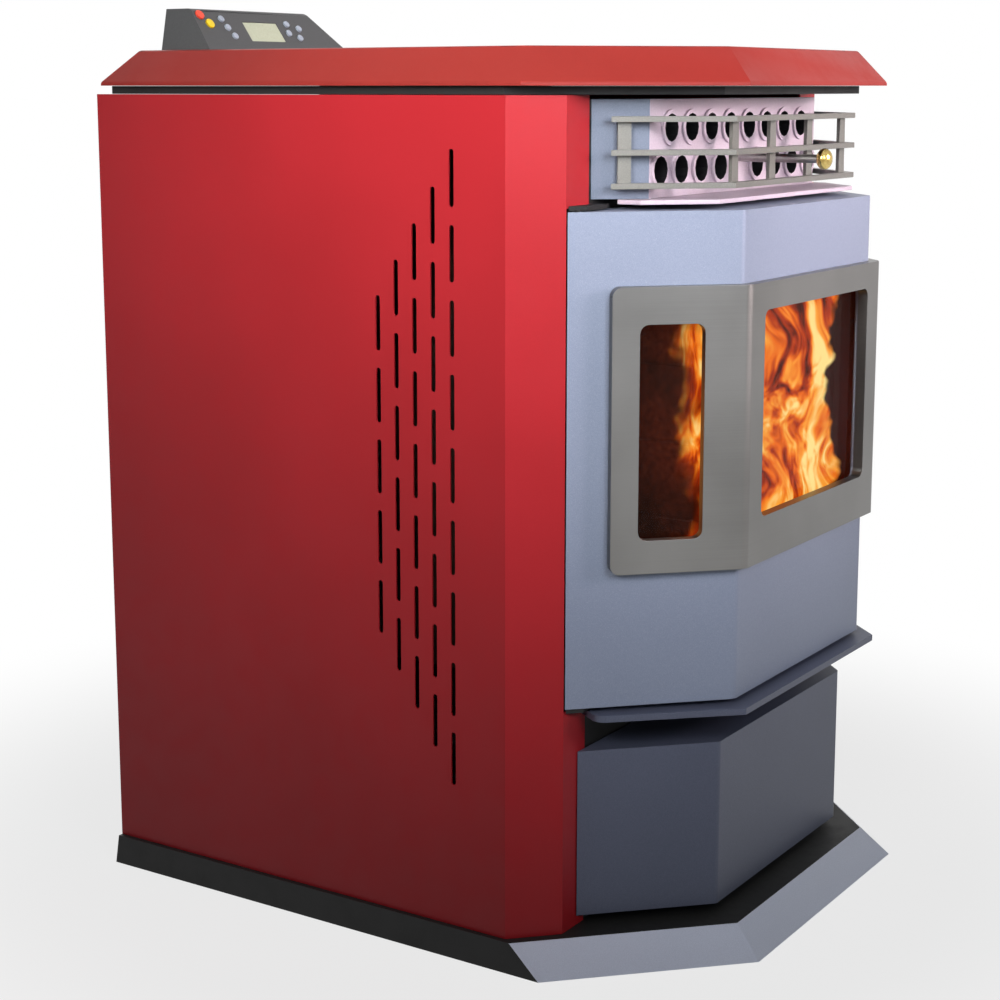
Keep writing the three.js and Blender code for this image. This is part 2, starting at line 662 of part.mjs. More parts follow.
function hopperLid() {
  const rear = LID_HINGE_Y - KNUCKLE - 0.8;
  const bottom = TOP_SURFACE - LID_RIM;
  const middle = (LID_LEFT + LID_RIGHT) / 2;
  let lid = cut(box(LID_LEFT, LID_RIGHT, LID_FRONT, rear, bottom, TOP_SURFACE),
    box(LID_LEFT + LID_SHEET, LID_RIGHT - LID_SHEET, LID_FRONT + NOTCH_DEPTH + LID_SHEET, rear - LID_SHEET,
      bottom - 1, TOP_SURFACE - LID_SHEET));
  const scoop = rounded(middle - NOTCH_HALF, middle + NOTCH_HALF, LID_FRONT - 20, LID_FRONT + NOTCH_DEPTH, 10);
  lid = cut(lid, prism(scoop, bottom - 1, TOP_SURFACE + 1));
  const axis = TOP_SURFACE - KNUCKLE - 0.2;
  for (const [x0, x1] of knuckleSpots()) {
    lid = join(lid, bar(KNUCKLE, [x0, LID_HINGE_Y, axis], [x1, LID_HINGE_Y, axis], 16),
      box(x0, x1, rear - 1, LID_HINGE_Y, axis - 1, axis + KNUCKLE - 0.3));
    lid = cut(lid, bar(ROD + GAP, [x0 - 1, LID_HINGE_Y, axis], [x1 + 1, LID_HINGE_Y, axis], 12));
  }
  return lid;
}

function lidSeal() {
  const top = TOP_SURFACE - LID_RIM - GAP;
  const [left, right, front, back] = hopperMouth();
  const outer = [left - SEAL_WIDTH - 1, right + SEAL_WIDTH + 1, front - SEAL_WIDTH - 1, back + SEAL_WIDTH + 1];
  return prism(rectangle(...outer), top - SEAL_HEIGHT, top, [rectangle(outer[0] + SEAL_WIDTH,
    outer[1] - SEAL_WIDTH, outer[2] + SEAL_WIDTH, outer[3] - SEAL_WIDTH)]);
}

// Frame on the console's sloped face: 'u' is x, 'v' runs up the slope, 'n' outwards
function faceOfConsole() {
  const slope = Math.hypot(CONSOLE_LEAN, CONSOLE_HEIGHT);
  const [cos, sin] = [CONSOLE_LEAN / slope, CONSOLE_HEIGHT / slope];
  return new THREE.Matrix4().set(
    1, 0, 0, 0,
    0, cos, -sin, CONSOLE_FRONT,
    0, sin, cos, TOP_SURFACE + GAP,
    0, 0, 0, 1,
  );
}

function onConsole(points, inner, outer) {
  const geometry = new THREE.ExtrudeGeometry(sketch(points), flat(outer - inner));
  geometry.translate(0, 0, inner);
  geometry.applyMatrix4(faceOfConsole());
  return toSolid(geometry);
}

function disc(u, v, radius, sides = 16) {
  return Array.from({ length: sides }, (_, i) => {
    const angle = 2 * Math.PI * i / sides;
    return [u + radius * Math.cos(angle), v + radius * Math.sin(angle)];
  });
}

function consoleHousing() {
  const low = TOP_SURFACE + GAP;
  const lower = rectangle(CONSOLE_LEFT, CONSOLE_RIGHT, CONSOLE_FRONT, CONSOLE_BACK);
  const upper = rectangle(CONSOLE_LEFT + CONSOLE_LEFT_TAPER, CONSOLE_RIGHT - CONSOLE_RIGHT_TAPER,
    CONSOLE_FRONT + CONSOLE_LEAN, CONSOLE_BACK - 3);
  let housing = frustum(lower, low, upper, low + CONSOLE_HEIGHT);
  const [u0, u1, v0, v1] = SCREEN;
  housing = cut(housing, onConsole(rectangle(u0, u1, v0, v1), -SCREEN_DEPTH, 2));
  for (const [, u, v, radius] of KEYS) {
    housing = cut(housing, onConsole(disc(u, v, radius + KEY_CLEARANCE, 12), -KEY_POCKET, 4));
  }
  return housing;
}

function screenModule() {
  const [u0, u1, v0, v1] = SCREEN;
  return onConsole(rectangle(u0 + GAP, u1 - GAP, v0 + GAP, v1 - GAP), GAP - SCREEN_DEPTH, -0.6);
}

function key(u, v, radius) {
  return onConsole(disc(u, v, radius, 12), 1.6 - KEY_POCKET, KEY_PROUD);
}

// ---------------------------------------------------------------- front frame and firebox
function frontFrame() {
  const low = DRAWER_LOW + DRAWER_WALL - 1.5;
  const plate = alongY([rectangle(-FRAME_HALF, FRAME_HALF, CASE_LOW, HEADER_HIGH)], -FRAME_FRONT, -FRAME_REAR);
  const openings = alongY([
    rectangle(-MOUTH_HALF, MOUTH_HALF, MOUTH_LOW, MOUTH_HIGH),
    rectangle(-ASH_MOUTH_HALF, ASH_MOUTH_HALF, low, ASH_MOUTH_HIGH),
    rectangle(-FIRE_HALF + 2 * FIRE_WALL + 8, FIRE_HALF - 2 * FIRE_WALL - 8, HEADER_LOW + 4, HEADER_HIGH - 4),
  ], -FRAME_FRONT - 1, -FRAME_REAR + 1);
  let frame = cut(plate, openings, latchSlot(), hingeRelief(BAY_SUM - SEAT));
  for (const [z, way] of [[DOOR_HIGH + 1.2, -1], [DOOR_LOW - GAP - LUG, 1]]) {
    const pin = way < 0 ? [z - PIN_REACH, z + 1] : [z + LUG - 1, z + LUG + PIN_REACH];
    frame = join(frame, prism(lugPlan(), z, z + LUG),
      bar(PIN, [HINGE_X, HINGE_Y, pin[0]], [HINGE_X, HINGE_Y, pin[1]], 16));
  }
  return frame;
}

// Hinge lug: rooted on the frame inside the flange, reaching round in front of it to the pin
function lugPlan() {
  const front = -HINGE_Y + 7;
  const tip = BAY_SUM - 2.5;
  return [[-FLANGE_INNER + 15, -FRAME_FRONT + 1], [-FLANGE_INNER + 1.5, -FRAME_FRONT + 1],
    [-FLANGE_INNER + 1.5, -SEAT - 0.6], [-(tip - SEAT - 0.6), -SEAT - 0.6],
    [-(tip - front), -front], [-FLANGE_INNER + 15, -front]];
}

function fireboxShell() {
  const front = -FRAME_REAR + GAP;
  const floorTop = FIRE_FLOOR + FIRE_WALL;
  const boxTop = floorTop + AIRBOX_HEIGHT;
  let shell = cut(
    box(-FIRE_HALF, FIRE_HALF, front, FIRE_BACK, FIRE_FLOOR, FIRE_TOP),
    box(-FIRE_HALF + FIRE_WALL, FIRE_HALF - FIRE_WALL, front - 1, FIRE_BACK - FIRE_WALL, floorTop,
      FIRE_TOP - FIRE_WALL));
  const airbox = cut(
    box(-AIRBOX_HALF, AIRBOX_HALF, -AIRBOX_FRONT, FIRE_BACK - 1, floorTop - 1, boxTop),
    box(-AIRBOX_HALF + AIRBOX_WALL, AIRBOX_HALF - AIRBOX_WALL, -AIRBOX_FRONT + AIRBOX_WALL,
      FIRE_BACK - FIRE_WALL, floorTop, boxTop - AIRBOX_WALL),
    box(-POT_HALF - 1.5, POT_HALF + 1.5, -POT_FRONT - 1.5, -POT_BACK + 1.5, boxTop - 10, boxTop + 10));
  const skirtLow = PAN_TOP + 4;
  const skirt = cut(
    box(-SKIRT_HALF, SKIRT_HALF, -SKIRT_FRONT, -SKIRT_BACK, skirtLow, FIRE_FLOOR + 1),
    box(-SKIRT_HALF + AIRBOX_WALL, SKIRT_HALF - AIRBOX_WALL, -SKIRT_FRONT + AIRBOX_WALL,
      -SKIRT_BACK - AIRBOX_WALL, skirtLow - 1, FIRE_FLOOR));
  const slotHalf = SKIRT_HALF - 2 * AIRBOX_WALL;
  const sideSlot = AIRBOX_HALF + 2 * AIRBOX_WALL;
  const falls = [
    box(-slotHalf, slotHalf, -SKIRT_FRONT + 2 * AIRBOX_WALL, -AIRBOX_FRONT - 6, FIRE_FLOOR - 1, floorTop + 1),
    box(-slotHalf, -sideSlot, -AIRBOX_FRONT - 10, -SKIRT_BACK - 8, FIRE_FLOOR - 1, floorTop + 1),
    box(sideSlot, slotHalf, -AIRBOX_FRONT - 10, -SKIRT_BACK - 8, FIRE_FLOOR - 1, floorTop + 1)];
  const through = (radius, x, z, sides) => bar(radius, [x, FIRE_BACK - 12, z], [x, FIRE_BACK + 8, z], sides);
  const holes = [through(AIR_RADIUS + GAP, AIR_X, AIR_Z, 20), through(IGNITER_RADIUS + 1, IGNITER_X, AIR_Z, 12)];
  for (const [x, z] of tubeSpots()) holes.push(through(TUBE_OUTER + GAP, x, z, 16));
  const flue = box(DUCT_LEFT + 6, DUCT_RIGHT - 6, FIRE_BACK - 12, FIRE_BACK + 8, FLUE_HOLE_LOW, DUCT_HIGH - 4);
  shell = join(shell, airbox, skirt);
  return cut(shell, ...falls, ...holes, flue, chuteSleeve());
}

function grooves(width, low, high, first) {
  const joints = [];
  for (let course = 0, z = low; z < high - 1; course += 1, z += BRICK_COURSE) {
    if (z > low) joints.push([-1, width + 1, z - JOINT_WIDTH / 2, z + JOINT_WIDTH / 2]);
    const shift = course % 2 ? BRICK_LENGTH / 2 : 0;
    for (let u = first + shift; u < width - 6; u += BRICK_LENGTH) {
      if (u > 6) joints.push([u - JOINT_WIDTH / 2, u + JOINT_WIDTH / 2, z, Math.min(z + BRICK_COURSE, high + 1)]);
    }
  }
  return joints;
}

function backBricks() {
  const half = FIRE_HALF - FIRE_WALL - GAP;
  const rear = FIRE_BACK - FIRE_WALL - GAP;
  const low = FIRE_FLOOR + FIRE_WALL + AIRBOX_HEIGHT + GAP;
  let bricks = box(-half, half, rear - BRICK, rear, low, BRICK_TOP);
  for (const [u0, u1, z0, z1] of grooves(2 * half, low, BRICK_TOP, BRICK_LENGTH / 4)) {
    bricks = cut(bricks, box(u0 - half, u1 - half, rear - BRICK - 1, rear - BRICK + JOINT_DEPTH, z0, z1));
  }
  return cut(bricks, chuteSleeve());
}

function sideBricks(side) {
  const outer = FIRE_HALF - FIRE_WALL - GAP;
  const inner = outer - BRICK;
  const front = FRAME_REAR - 3;
  const rear = FIRE_BACK - FIRE_WALL - BRICK - 2 * GAP;
  const low = FIRE_FLOOR + FIRE_WALL + GAP;
  const span = (a, b) => (side > 0 ? [a, b] : [-b, -a]);
  let bricks = box(...span(inner, outer), -front, rear, low, BRICK_TOP);
  for (const [u0, u1, z0, z1] of grooves(front + rear, low, BRICK_TOP, BRICK_LENGTH / 2)) {
    bricks = cut(bricks, box(...span(inner - 1, inner + JOINT_DEPTH), u0 - front, u1 - front, z0, z1));
  }
  return bricks;
}

function burnPot() {
  const rim = FIRE_FLOOR + FIRE_WALL + AIRBOX_HEIGHT + GAP;
  const floor = rim - POT_DEPTH;
  const plan = (draft, wall) => rectangle(-POT_HALF + draft + wall, POT_HALF - draft - wall,
    -POT_FRONT + draft + wall, -POT_BACK - draft - wall);
  const cup = join(
    frustum(plan(POT_DRAFT, 0), floor, plan(0, 0), rim + 1),
    box(-POT_HALF - POT_RIM, POT_HALF + POT_RIM, -POT_FRONT - POT_RIM, -POT_BACK + POT_RIM, rim, rim + POT_WALL));
  let pot = cut(cup, frustum(plan(POT_DRAFT, POT_WALL), floor + POT_WALL, plan(-1, POT_WALL), rim + POT_WALL + 1));
  for (const x of [-24, -8, 8, 24]) {
    for (const y of [-16, 0, 16]) {
      const middle = -(POT_FRONT + POT_BACK) / 2 + y;
      pot = cut(pot, bar(3, [x, middle, floor - 1], [x, middle, floor + POT_WALL + 1], 8));
    }
  }
  return pot;
}

function igniter() {
  const tip = -POT_BACK - POT_DRAFT + 9;
  return turned([[0, 0], [IGNITER_RADIUS - 1, 0], [IGNITER_RADIUS, 1.5], [IGNITER_RADIUS, FIRE_BACK - tip + GAP],
    [IGNITER_RADIUS + 5, FIRE_BACK - tip + GAP], [IGNITER_RADIUS + 5, FIRE_BACK - tip + 5],
    [IGNITER_RADIUS, FIRE_BACK - tip + 7], [IGNITER_RADIUS, FIRE_BACK - tip + 26],
    [0, FIRE_BACK - tip + 26]], [IGNITER_X, tip, AIR_Z], [0, 1, 0], 12);
}

// ---------------------------------------------------------------- heat exchanger
function tubeSpots() {
  return [...UPPER_ROW.map((step) => [step * TUBE_PITCH, UPPER_Z]),
    ...LOWER_ROW.map((step) => [step * TUBE_PITCH, LOWER_Z])];
}

function heatExchanger() {
  const back = FRAME_FRONT + GAP;
  const outer = bay(HEADER_FRONT, HEADER_SUM, back);
  const inner = bay(HEADER_FRONT - HEADER_WALL, inward(HEADER_SUM, HEADER_WALL), back - 1);
  let header = cut(prism(outer, HEADER_LOW, HEADER_HIGH),
    prism(inner, HEADER_LOW + HEADER_WALL, HEADER_HIGH - HEADER_WALL));
  const start = -HEADER_FRONT - TUBE_PROUD;
  for (const [x, z] of tubeSpots()) {
    header = join(header, bar(TUBE_OUTER, [x, start, z], [x, TUBE_BACK, z], 16));
  }
  for (const [x, z] of tubeSpots()) {
    header = cut(header, bar(TUBE_BORE, [x, start - 1, z], [x, TUBE_BACK + 1, z], 12));
  }
  return cut(header, bar(SCRAPER_ROD + GAP, [0, -HEADER_FRONT - 5, SCRAPER_Z], [0, -HEADER_FRONT + 5, SCRAPER_Z], 12));
}

function louvreGrille() {
  const back = GRILLE_SUM - GRILLE_END;
  const outer = bay(GRILLE_FRONT, GRILLE_SUM, back);
  const innerSum = inward(GRILLE_SUM, BAR_DEPTH);
  const inner = bay(GRILLE_FRONT - BAR_DEPTH, innerSum, back - 20);
  const trimmed = (solid, low, high) => cut(solid, prism(inner, low - 1, high + 1));
  const low = BAR_LEVELS[0] - BAR_HEIGHT / 2;
  const high = BAR_LEVELS.at(-1) + BAR_HEIGHT / 2;
  let grille = null;
  for (const z of BAR_LEVELS) {
    const level = trimmed(prism(outer, z - BAR_HEIGHT / 2, z + BAR_HEIGHT / 2), z - BAR_HEIGHT, z + BAR_HEIGHT);
    grille = grille ? join(grille, level) : level;
  }
  const rear = -GRILLE_FRONT + BAR_DEPTH;
  for (const x of UPRIGHT_SPOTS) {
    grille = join(grille, box(x - UPRIGHT / 2, x + UPRIGHT / 2, rear - 0.5, rear + UPRIGHT_SHEET, low, high));
  }
  const reach = (innerSum - HEADER_SUM) / DIAGONAL - GAP;
  for (const face of ['left', 'right']) {
    const way = face === 'left' ? -1 : 1;
    const post = (u) => rounded(u - UPRIGHT / 2, u + UPRIGHT / 2, low, high, 1, 1);
    const far = way * ((GRILLE_FRONT - back) * DIAGONAL - 14);
    grille = join(grille, onFace(face, post(far), -BAR_DEPTH - UPRIGHT_SHEET, 0.5 - BAR_DEPTH,
      GRILLE_FRONT, GRILLE_SUM));
    for (const z of [low + 8, high - 8]) {
      grille = join(grille, onFace(face, disc(far, z, 4, 10), -BAR_DEPTH - reach, -BAR_DEPTH,
        GRILLE_FRONT, GRILLE_SUM));
    }
  }
  return grille;
}

function sillPlate() {
  const high = HEADER_LOW - GAP;
  return prism(bay(SILL_FRONT, SILL_SUM, SILL_BACK, SILL_HALF), high - SILL_SHEET, high);
}

function scraper() {
  const front = -KNOB_FRONT + KNOB;
  const rod = bar(SCRAPER_ROD, [0, front, SCRAPER_Z], [0, SCRAPER_BACK - 1, SCRAPER_Z], 12);
  const low = LOWER_Z - TUBE_OUTER - 4;
  const high = Math.min(UPPER_Z + TUBE_OUTER + 2.6, FIRE_TOP - FIRE_WALL - 0.4);
  let plate = box(-SCRAPER_HALF, SCRAPER_HALF, SCRAPER_BACK - SCRAPER_SHEET, SCRAPER_BACK, low, high);
  for (const [x, z] of tubeSpots()) {
    plate = cut(plate, bar(TUBE_OUTER + 0.7, [x, SCRAPER_BACK - 10, z], [x, SCRAPER_BACK + 5, z], 16));
  }
  return join(plate, rod);
}

function scraperKnob() {
  const ball = [];
  for (let i = 0; i <= 8; i += 1) {
    const angle = Math.PI * i / 8;
    ball.push([KNOB * Math.sin(angle), -KNOB * Math.cos(angle)]);
  }
  const centre = [0, -KNOB_FRONT + KNOB, SCRAPER_Z];
  return cut(turned(ball, centre, [0, 1, 0], 16),
    bar(SCRAPER_ROD + GAP, [0, centre[1] - GAP, SCRAPER_Z], [0, centre[1] + 2 * KNOB, SCRAPER_Z], 12));
}

// ---------------------------------------------------------------- door
const grown = ([u0, u1, z0, z1], by) => [u0 - by, u1 + by, z0 - by, z1 + by];
const windowOn = (face) => {
  if (face === 'front') return FRONT_WINDOW;
  const [near, far, low, high] = SIDE_WINDOW;
  return face === 'left' ? [-far, -near, low, high] : [near, far, low, high];
};

function windowCut(face, by, inner, outer) {
  return onFace(face, rounded(...grown(windowOn(face), by), WINDOW_CORNER + by), inner, outer);
}

function doorFrame() {
  const shell = prism(bay(DOOR_FRONT, BAY_SUM, DOOR_BACK), DOOR_LOW, DOOR_HIGH);
  const hollow = prism(bay(DOOR_FRONT - DOOR_WALL, inward(BAY_SUM, DOOR_WALL), DOOR_BACK + DOOR_RING),
    DOOR_LOW + DOOR_WALL, DOOR_HIGH - DOOR_WALL);
  const mouth = box(-MOUTH_HALF, MOUTH_HALF, -DOOR_BACK - 2 * DOOR_RING, -DOOR_BACK + 1, MOUTH_LOW, MOUTH_HIGH);
  const pinRoom = (low, high) => bar(PIN + GAP, [HINGE_X, HINGE_Y, low], [HINGE_X, HINGE_Y, high], 16);
  return cut(shell, hollow, mouth, sealSolid(GAP, -DOOR_BACK - GROOVE, -DOOR_BACK + 1),
    ...['left', 'front', 'right'].map((face) => windowCut(face, WINDOW_STEP, -2 * DOOR_WALL, 5)),
    pinRoom(DOOR_LOW - 1, DOOR_LOW + PIN_REACH + 0.6), pinRoom(DOOR_HIGH - PIN_REACH + 0.6, DOOR_HIGH + 1),
    bar(SPINDLE + GAP, [LATCH_X, -SEAT - 60, LATCH_Z], [LATCH_X, -SEAT + 5, LATCH_Z], 16));
}

function sealSolid(grow, front, back) {
  const half = SEAL_ROPE / 2 + grow;
  const middle = [SEAL_CENTRE, MOUTH_LOW - SEAL_LAND, MOUTH_HIGH + SEAL_LAND];
  const outer = alongY([rounded(-middle[0] - half, middle[0] + half, middle[1] - half, middle[2] + half, 12, 2)],
    front, back);
  const inner = alongY([rounded(-middle[0] + half, middle[0] - half, middle[1] + half, middle[2] - half, 3, 2)],
    front - 1, back + 1);
  return cut(outer, inner);
}

function doorGasket() {
  return sealSolid(0, -DOOR_BACK - GROOVE + GAP, -FRAME_FRONT - GAP);
}

function doorPane(face) {
  const inner = -DOOR_WALL - GAP;
  const [u0, u1, z0, z1] = grown(windowOn(face), WINDOW_STEP + PANE_LAP);
  const clear = { left: [u0, Math.min(u1, -6)], front: [u0, u1], right: [Math.max(u0, 6), u1] }[face];
  return onFace(face, rectangle(...clear, z0, z1), inner - PANE, inner);
}

function windowTrim() {
  const shift = GAP * DIAGONAL;
  const proud = TRIM_PROUD + GAP;
  const end = TRIM_END / DIAGONAL;
  const back = DOOR_FRONT - end;
  const band = cut(
    prism(bay(DOOR_FRONT + proud, BAY_SUM + proud * DIAGONAL, back - proud), TRIM_LOW, TRIM_HIGH),
    prism(bay(DOOR_FRONT + GAP, BAY_SUM + shift, back - 2 * TRIM_PROUD), TRIM_LOW - 1, TRIM_HIGH + 1));
  const parts = ['left', 'front', 'right'].map((face) => windowCut(face, 0, -5, 2 * TRIM_PROUD));
  for (const [face, way] of [['left', -1], ['right', 1]]) {
    const far = way * TRIM_END;
    parts.push(onFace(face, rectangle(Math.min(far, far + way * 60), Math.max(far, far + way * 60),
      TRIM_LOW - 5, TRIM_HIGH + 5), -5, 2 * TRIM_PROUD));
    for (const [z, up] of [[TRIM_LOW, 1], [TRIM_HIGH, -1]]) parts.push(cornerCut(face, way, z, up));
  }
  return cut(band, ...parts);
}

// The square piece outside a rounded corner at the trim's end
function cornerCut(face, way, z, up) {
  const centre = [way * (TRIM_END - TRIM_CORNER), z + up * TRIM_CORNER];
  const points = [[way * (TRIM_END + 2), z - up * 2], [way * (TRIM_END + 2), centre[1]]];
  for (let i = 0; i <= 5; i += 1) {
    const angle = Math.PI / 2 * i / 5;
    points.push([centre[0] + way * TRIM_CORNER * Math.cos(angle), centre[1] - up * TRIM_CORNER * Math.sin(angle)]);
  }
  points.push([centre[0], z - up * 2]);
  return onFace(face, points, -5, 2 * TRIM_PROUD);
}

function latchHandle() {
  const behind = -FRAME_REAR + 0.7;
  const ahead = -(BAY_SUM - LATCH_X) - LEVER_STAND;
  const spindle = bar(SPINDLE, [LATCH_X, ahead, LATCH_Z], [LATCH_X, behind + SPINDLE, LATCH_Z], 16);
  const cam = box(LATCH_X - CAM_WIDTH / 2, LATCH_X + CAM_WIDTH / 2, behind, behind + SPINDLE,
    LATCH_Z, LATCH_Z + CAM_REACH);
  const camHub = bar(CAM_WIDTH / 2, [LATCH_X, behind, LATCH_Z], [LATCH_X, behind + SPINDLE, LATCH_Z], 16);
  const hub = bar(9, [LATCH_X, ahead - 4, LATCH_Z], [LATCH_X, ahead + 7, LATCH_Z], 20);
  const lever = turned([[0, 0], [5.5, 0], [5.5, LEVER_LENGTH * 0.35], [8, LEVER_LENGTH * 0.5],
    [8.5, LEVER_LENGTH * 0.85], [6, LEVER_LENGTH - 2], [0, LEVER_LENGTH]],
  [LATCH_X, ahead + 1.5, LATCH_Z], [0, 0, -1], 14);
  return join(spindle, cam, camHub, hub, lever);
}

// ---------------------------------------------------------------- ash lip and drawer
function ashLip() {
  const tip = [-LIP_END, -(LIP_SUM - LIP_END)];
  const left = [[-FLANGE_INNER + GAP, -FRAME_FRONT - GAP], [-FLANGE_INNER + GAP, -SEAT - GAP],
    [tip[0] + 16, -SEAT - GAP], [tip[0] + 2, tip[1] + 14]];
  for (let i = 0; i <= 4; i += 1) {
    const angle = THREE.MathUtils.degToRad(165 + 60 * i / 4);
    left.push([tip[0] + LIP_ROUND * (1.15 + Math.cos(angle)), tip[1] + LIP_ROUND * (0.85 + Math.sin(angle))]);
  }
  left.push([-(LIP_SUM - LIP_FRONT), -LIP_FRONT]);
  return prism([...left, ...mirrored(left).reverse()], LIP_LOW, LIP_HIGH);
}

function ashDrawerFront() {
  const outer = bay(DRAWER_FRONT, DRAWER_SUM, DOOR_BACK);
  const inner = bay(DRAWER_FRONT - DRAWER_WALL, inward(DRAWER_SUM, DRAWER_WALL), DOOR_BACK - 1);
  return cut(prism(outer, DRAWER_LOW, DRAWER_HIGH),
    prism(inner, DRAWER_LOW + DRAWER_WALL, DRAWER_HIGH - DRAWER_WALL));
}

function ashPan() {
  const low = DRAWER_LOW + DRAWER_WALL + GAP;
  const pan = box(-PAN_HALF, PAN_HALF, -PAN_FRONT, PAN_BACK, low, PAN_TOP);
  return cut(pan, box(-PAN_HALF + PAN_WALL, PAN_HALF - PAN_WALL, -PAN_FRONT + PAN_WALL, PAN_BACK - PAN_WALL,
    low + PAN_WALL, PAN_TOP + 1));
}

// ---------------------------------------------------------------- hopper and auger
const augerWay = new THREE.Vector3(0, AUGER_HEAD[0] - AUGER_FOOT[0], AUGER_HEAD[1] - AUGER_FOOT[1]);
const AUGER_LENGTH = augerWay.length();
const AUGER_LEAN = Math.atan2(-augerWay.y, augerWay.z);
const TUBE_RADIUS = AUGER_BORE + AUGER_WALL;

// Places a geometry made along Z at the auger's lower end, leaning with it
function leaning(geometry) {
  const placed = geometry.clone();
  placed.rotateX(AUGER_LEAN);
  placed.translate(0, ...AUGER_FOOT);
  return toSolid(placed);
}

function leaningBar(radius, from, to, sides) {
  const geometry = new THREE.CylinderGeometry(radius, radius, to - from, sides);
  geometry.rotateX(Math.PI / 2);
  geometry.translate(0, 0, (from + to) / 2);
  return leaning(geometry);
}

function leaningBox(half, high, from, to) {
  const geometry = new THREE.BoxGeometry(2 * half, 2 * high, to - from);
  geometry.translate(0, 0, (from + to) / 2);
  return leaning(geometry);
}

// The drop chute's square duct, from inside the auger tube forwards and down
function chuteDuct(half, reach) {
  const slope = THREE.MathUtils.degToRad(CHUTE_SLOPE);
  const tall = half / Math.cos(slope);
  const start = [AUGER_HEAD[0] + 8, AUGER_HEAD[1] - 16];
  const drop = (start[0] - reach) * Math.tan(slope);
  return alongX([[[start[0], start[1] - tall], [start[0], start[1] + tall],
    [reach, start[1] - drop + tall], [reach, start[1] - drop - tall]]], -half, half);
}

const chuteSleeve = () => chuteDuct(CHUTE_HALF + 2 * GAP, -20);
const throatBore = (grow) => box(-THROAT_HALF - grow, THROAT_HALF + grow, THROAT_Y - THROAT_HALF - grow,
  THROAT_Y + THROAT_HALF + grow, THROAT_TOP - 160, THROAT_TOP + 1);

function augerTube() {
  const tube = join(leaningBar(TUBE_RADIUS, 0, AUGER_LENGTH, 24), leaningBar(TUBE_RADIUS + 10, 0, 6, 24));
  const chute = chuteDuct(CHUTE_HALF, 2);
  const bore = leaningBar(AUGER_BORE, 6, AUGER_LENGTH - AUGER_WALL, 24);
  const above = leaningBox(TUBE_RADIUS + 2, TUBE_RADIUS + 2, 20, AUGER_LENGTH / 2 + 60);
  const inletCut = throatBore(-HOPPER_SHEET - 2).intersect(upperHalf().intersect(above));
  return cut(join(tube, chute), bore, chuteDuct(CHUTE_HALF - CHUTE_WALL, -5),
    leaningBar(SCREW_SHAFT + 0.5, -1, 8, 16), inletCut);
}

// The half space above the auger's axis, as a block
function upperHalf() {
  const geometry = new THREE.BoxGeometry(200, 200, 2 * AUGER_LENGTH);
  geometry.translate(0, 100, AUGER_LENGTH / 2);
  return leaning(geometry);
}

function augerScrew() {
  const low = 9;
  const high = AUGER_LENGTH - AUGER_WALL - 4;
  const turns = (high - low) / SCREW_PITCH;
  const steps = Math.round(turns * 10);
  const corners = [];
  for (let i = 0; i <= steps; i += 1) {
    const angle = 2 * Math.PI * turns * i / steps;
    const z = low + SCREW_FLIGHT / 2 + (high - low - SCREW_FLIGHT) * i / steps;
    for (const [radius, lift] of [[SCREW_SHAFT - 2, -1], [SCREW_RADIUS, -1], [SCREW_RADIUS, 1], [SCREW_SHAFT - 2, 1]]) {
      corners.push(radius * Math.cos(angle), radius * Math.sin(angle), z + lift * SCREW_FLIGHT / 2);
    }
  }
  const faces = [0, 1, 2, 0, 2, 3];
  for (let i = 0; i < steps; i += 1) {
    for (let side = 0; side < 4; side += 1) {
      const [p, q] = [4 * i + side, 4 * i + (side + 1) % 4];
      faces.push(p, p + 4, q + 4, p, q + 4, q);
    }
  }
  const last = 4 * steps;
  faces.push(last, last + 2, last + 1, last, last + 3, last + 2);
  const flight = new THREE.BufferGeometry();
  flight.setAttribute('position', new THREE.Float32BufferAttribute(corners, 3));
  flight.setIndex(faces);
  return join(leaning(flight), leaningBar(SCREW_SHAFT, -18, high, 16));
}

function augerMotor() {
  const [half, tall, length] = GEARBOX;
  const [radius, reach] = GEAR_MOTOR;
  return cut(join(leaningBox(half, tall, -length - GAP, -GAP), leaningBar(radius, -length - reach, -length + 1, 20),
    leaningBar(radius - 8, -length - reach - 6, -length - reach + 1, 16)),
  leaningBar(SCREW_SHAFT + GAP, -20, 1, 16));
}

function hopper() {
  const rim = TOP_SURFACE - LEDGE_DROP - 2 - GAP;
  const [left, right, front, back] = hopperMouth();
  const mouth = (grow) => rectangle(left - grow, right + grow, front - grow, back + grow);
  const throat = (grow) => rectangle(-THROAT_HALF - grow, THROAT_HALF + grow, THROAT_Y - THROAT_HALF - grow,
    THROAT_Y + THROAT_HALF + grow);
  const body = (grow, over) => join(
    prism(mouth(grow), HOPPER_BEND, rim + over),
    frustum(throat(grow), THROAT_TOP, mouth(grow), HOPPER_BEND),
    prism(throat(grow), THROAT_TOP - 150, THROAT_TOP + (over ? 0 : GAP)));
  const flange = prism(mouth(7), rim - SHEET, rim);
  let funnel = cut(join(body(0, 0), flange), body(-HOPPER_SHEET, 5));
  funnel = cut(funnel, leaningBar(TUBE_RADIUS + GAP, -60, AUGER_LENGTH + 60, 24), lowerHalf());
  for (let x = left + 36; x < right - 10; x += 34) {
    funnel = join(funnel, bar(2.2, [x, front - 0.7, rim - 34], [x, back + 0.7, rim - 34], 6));
  }
  return funnel;
}

// Everything below the auger's axis, as a block
function lowerHalf() {
  const geometry = new THREE.BoxGeometry(300, 300, 2 * AUGER_LENGTH);
  geometry.translate(0, -150, AUGER_LENGTH / 2);
  return leaning(geometry);
}

// ---------------------------------------------------------------- exhaust
const ductRear = FIRE_BACK + GAP + DUCT_DEPTH;
const fanFront = ductRear + GAP;

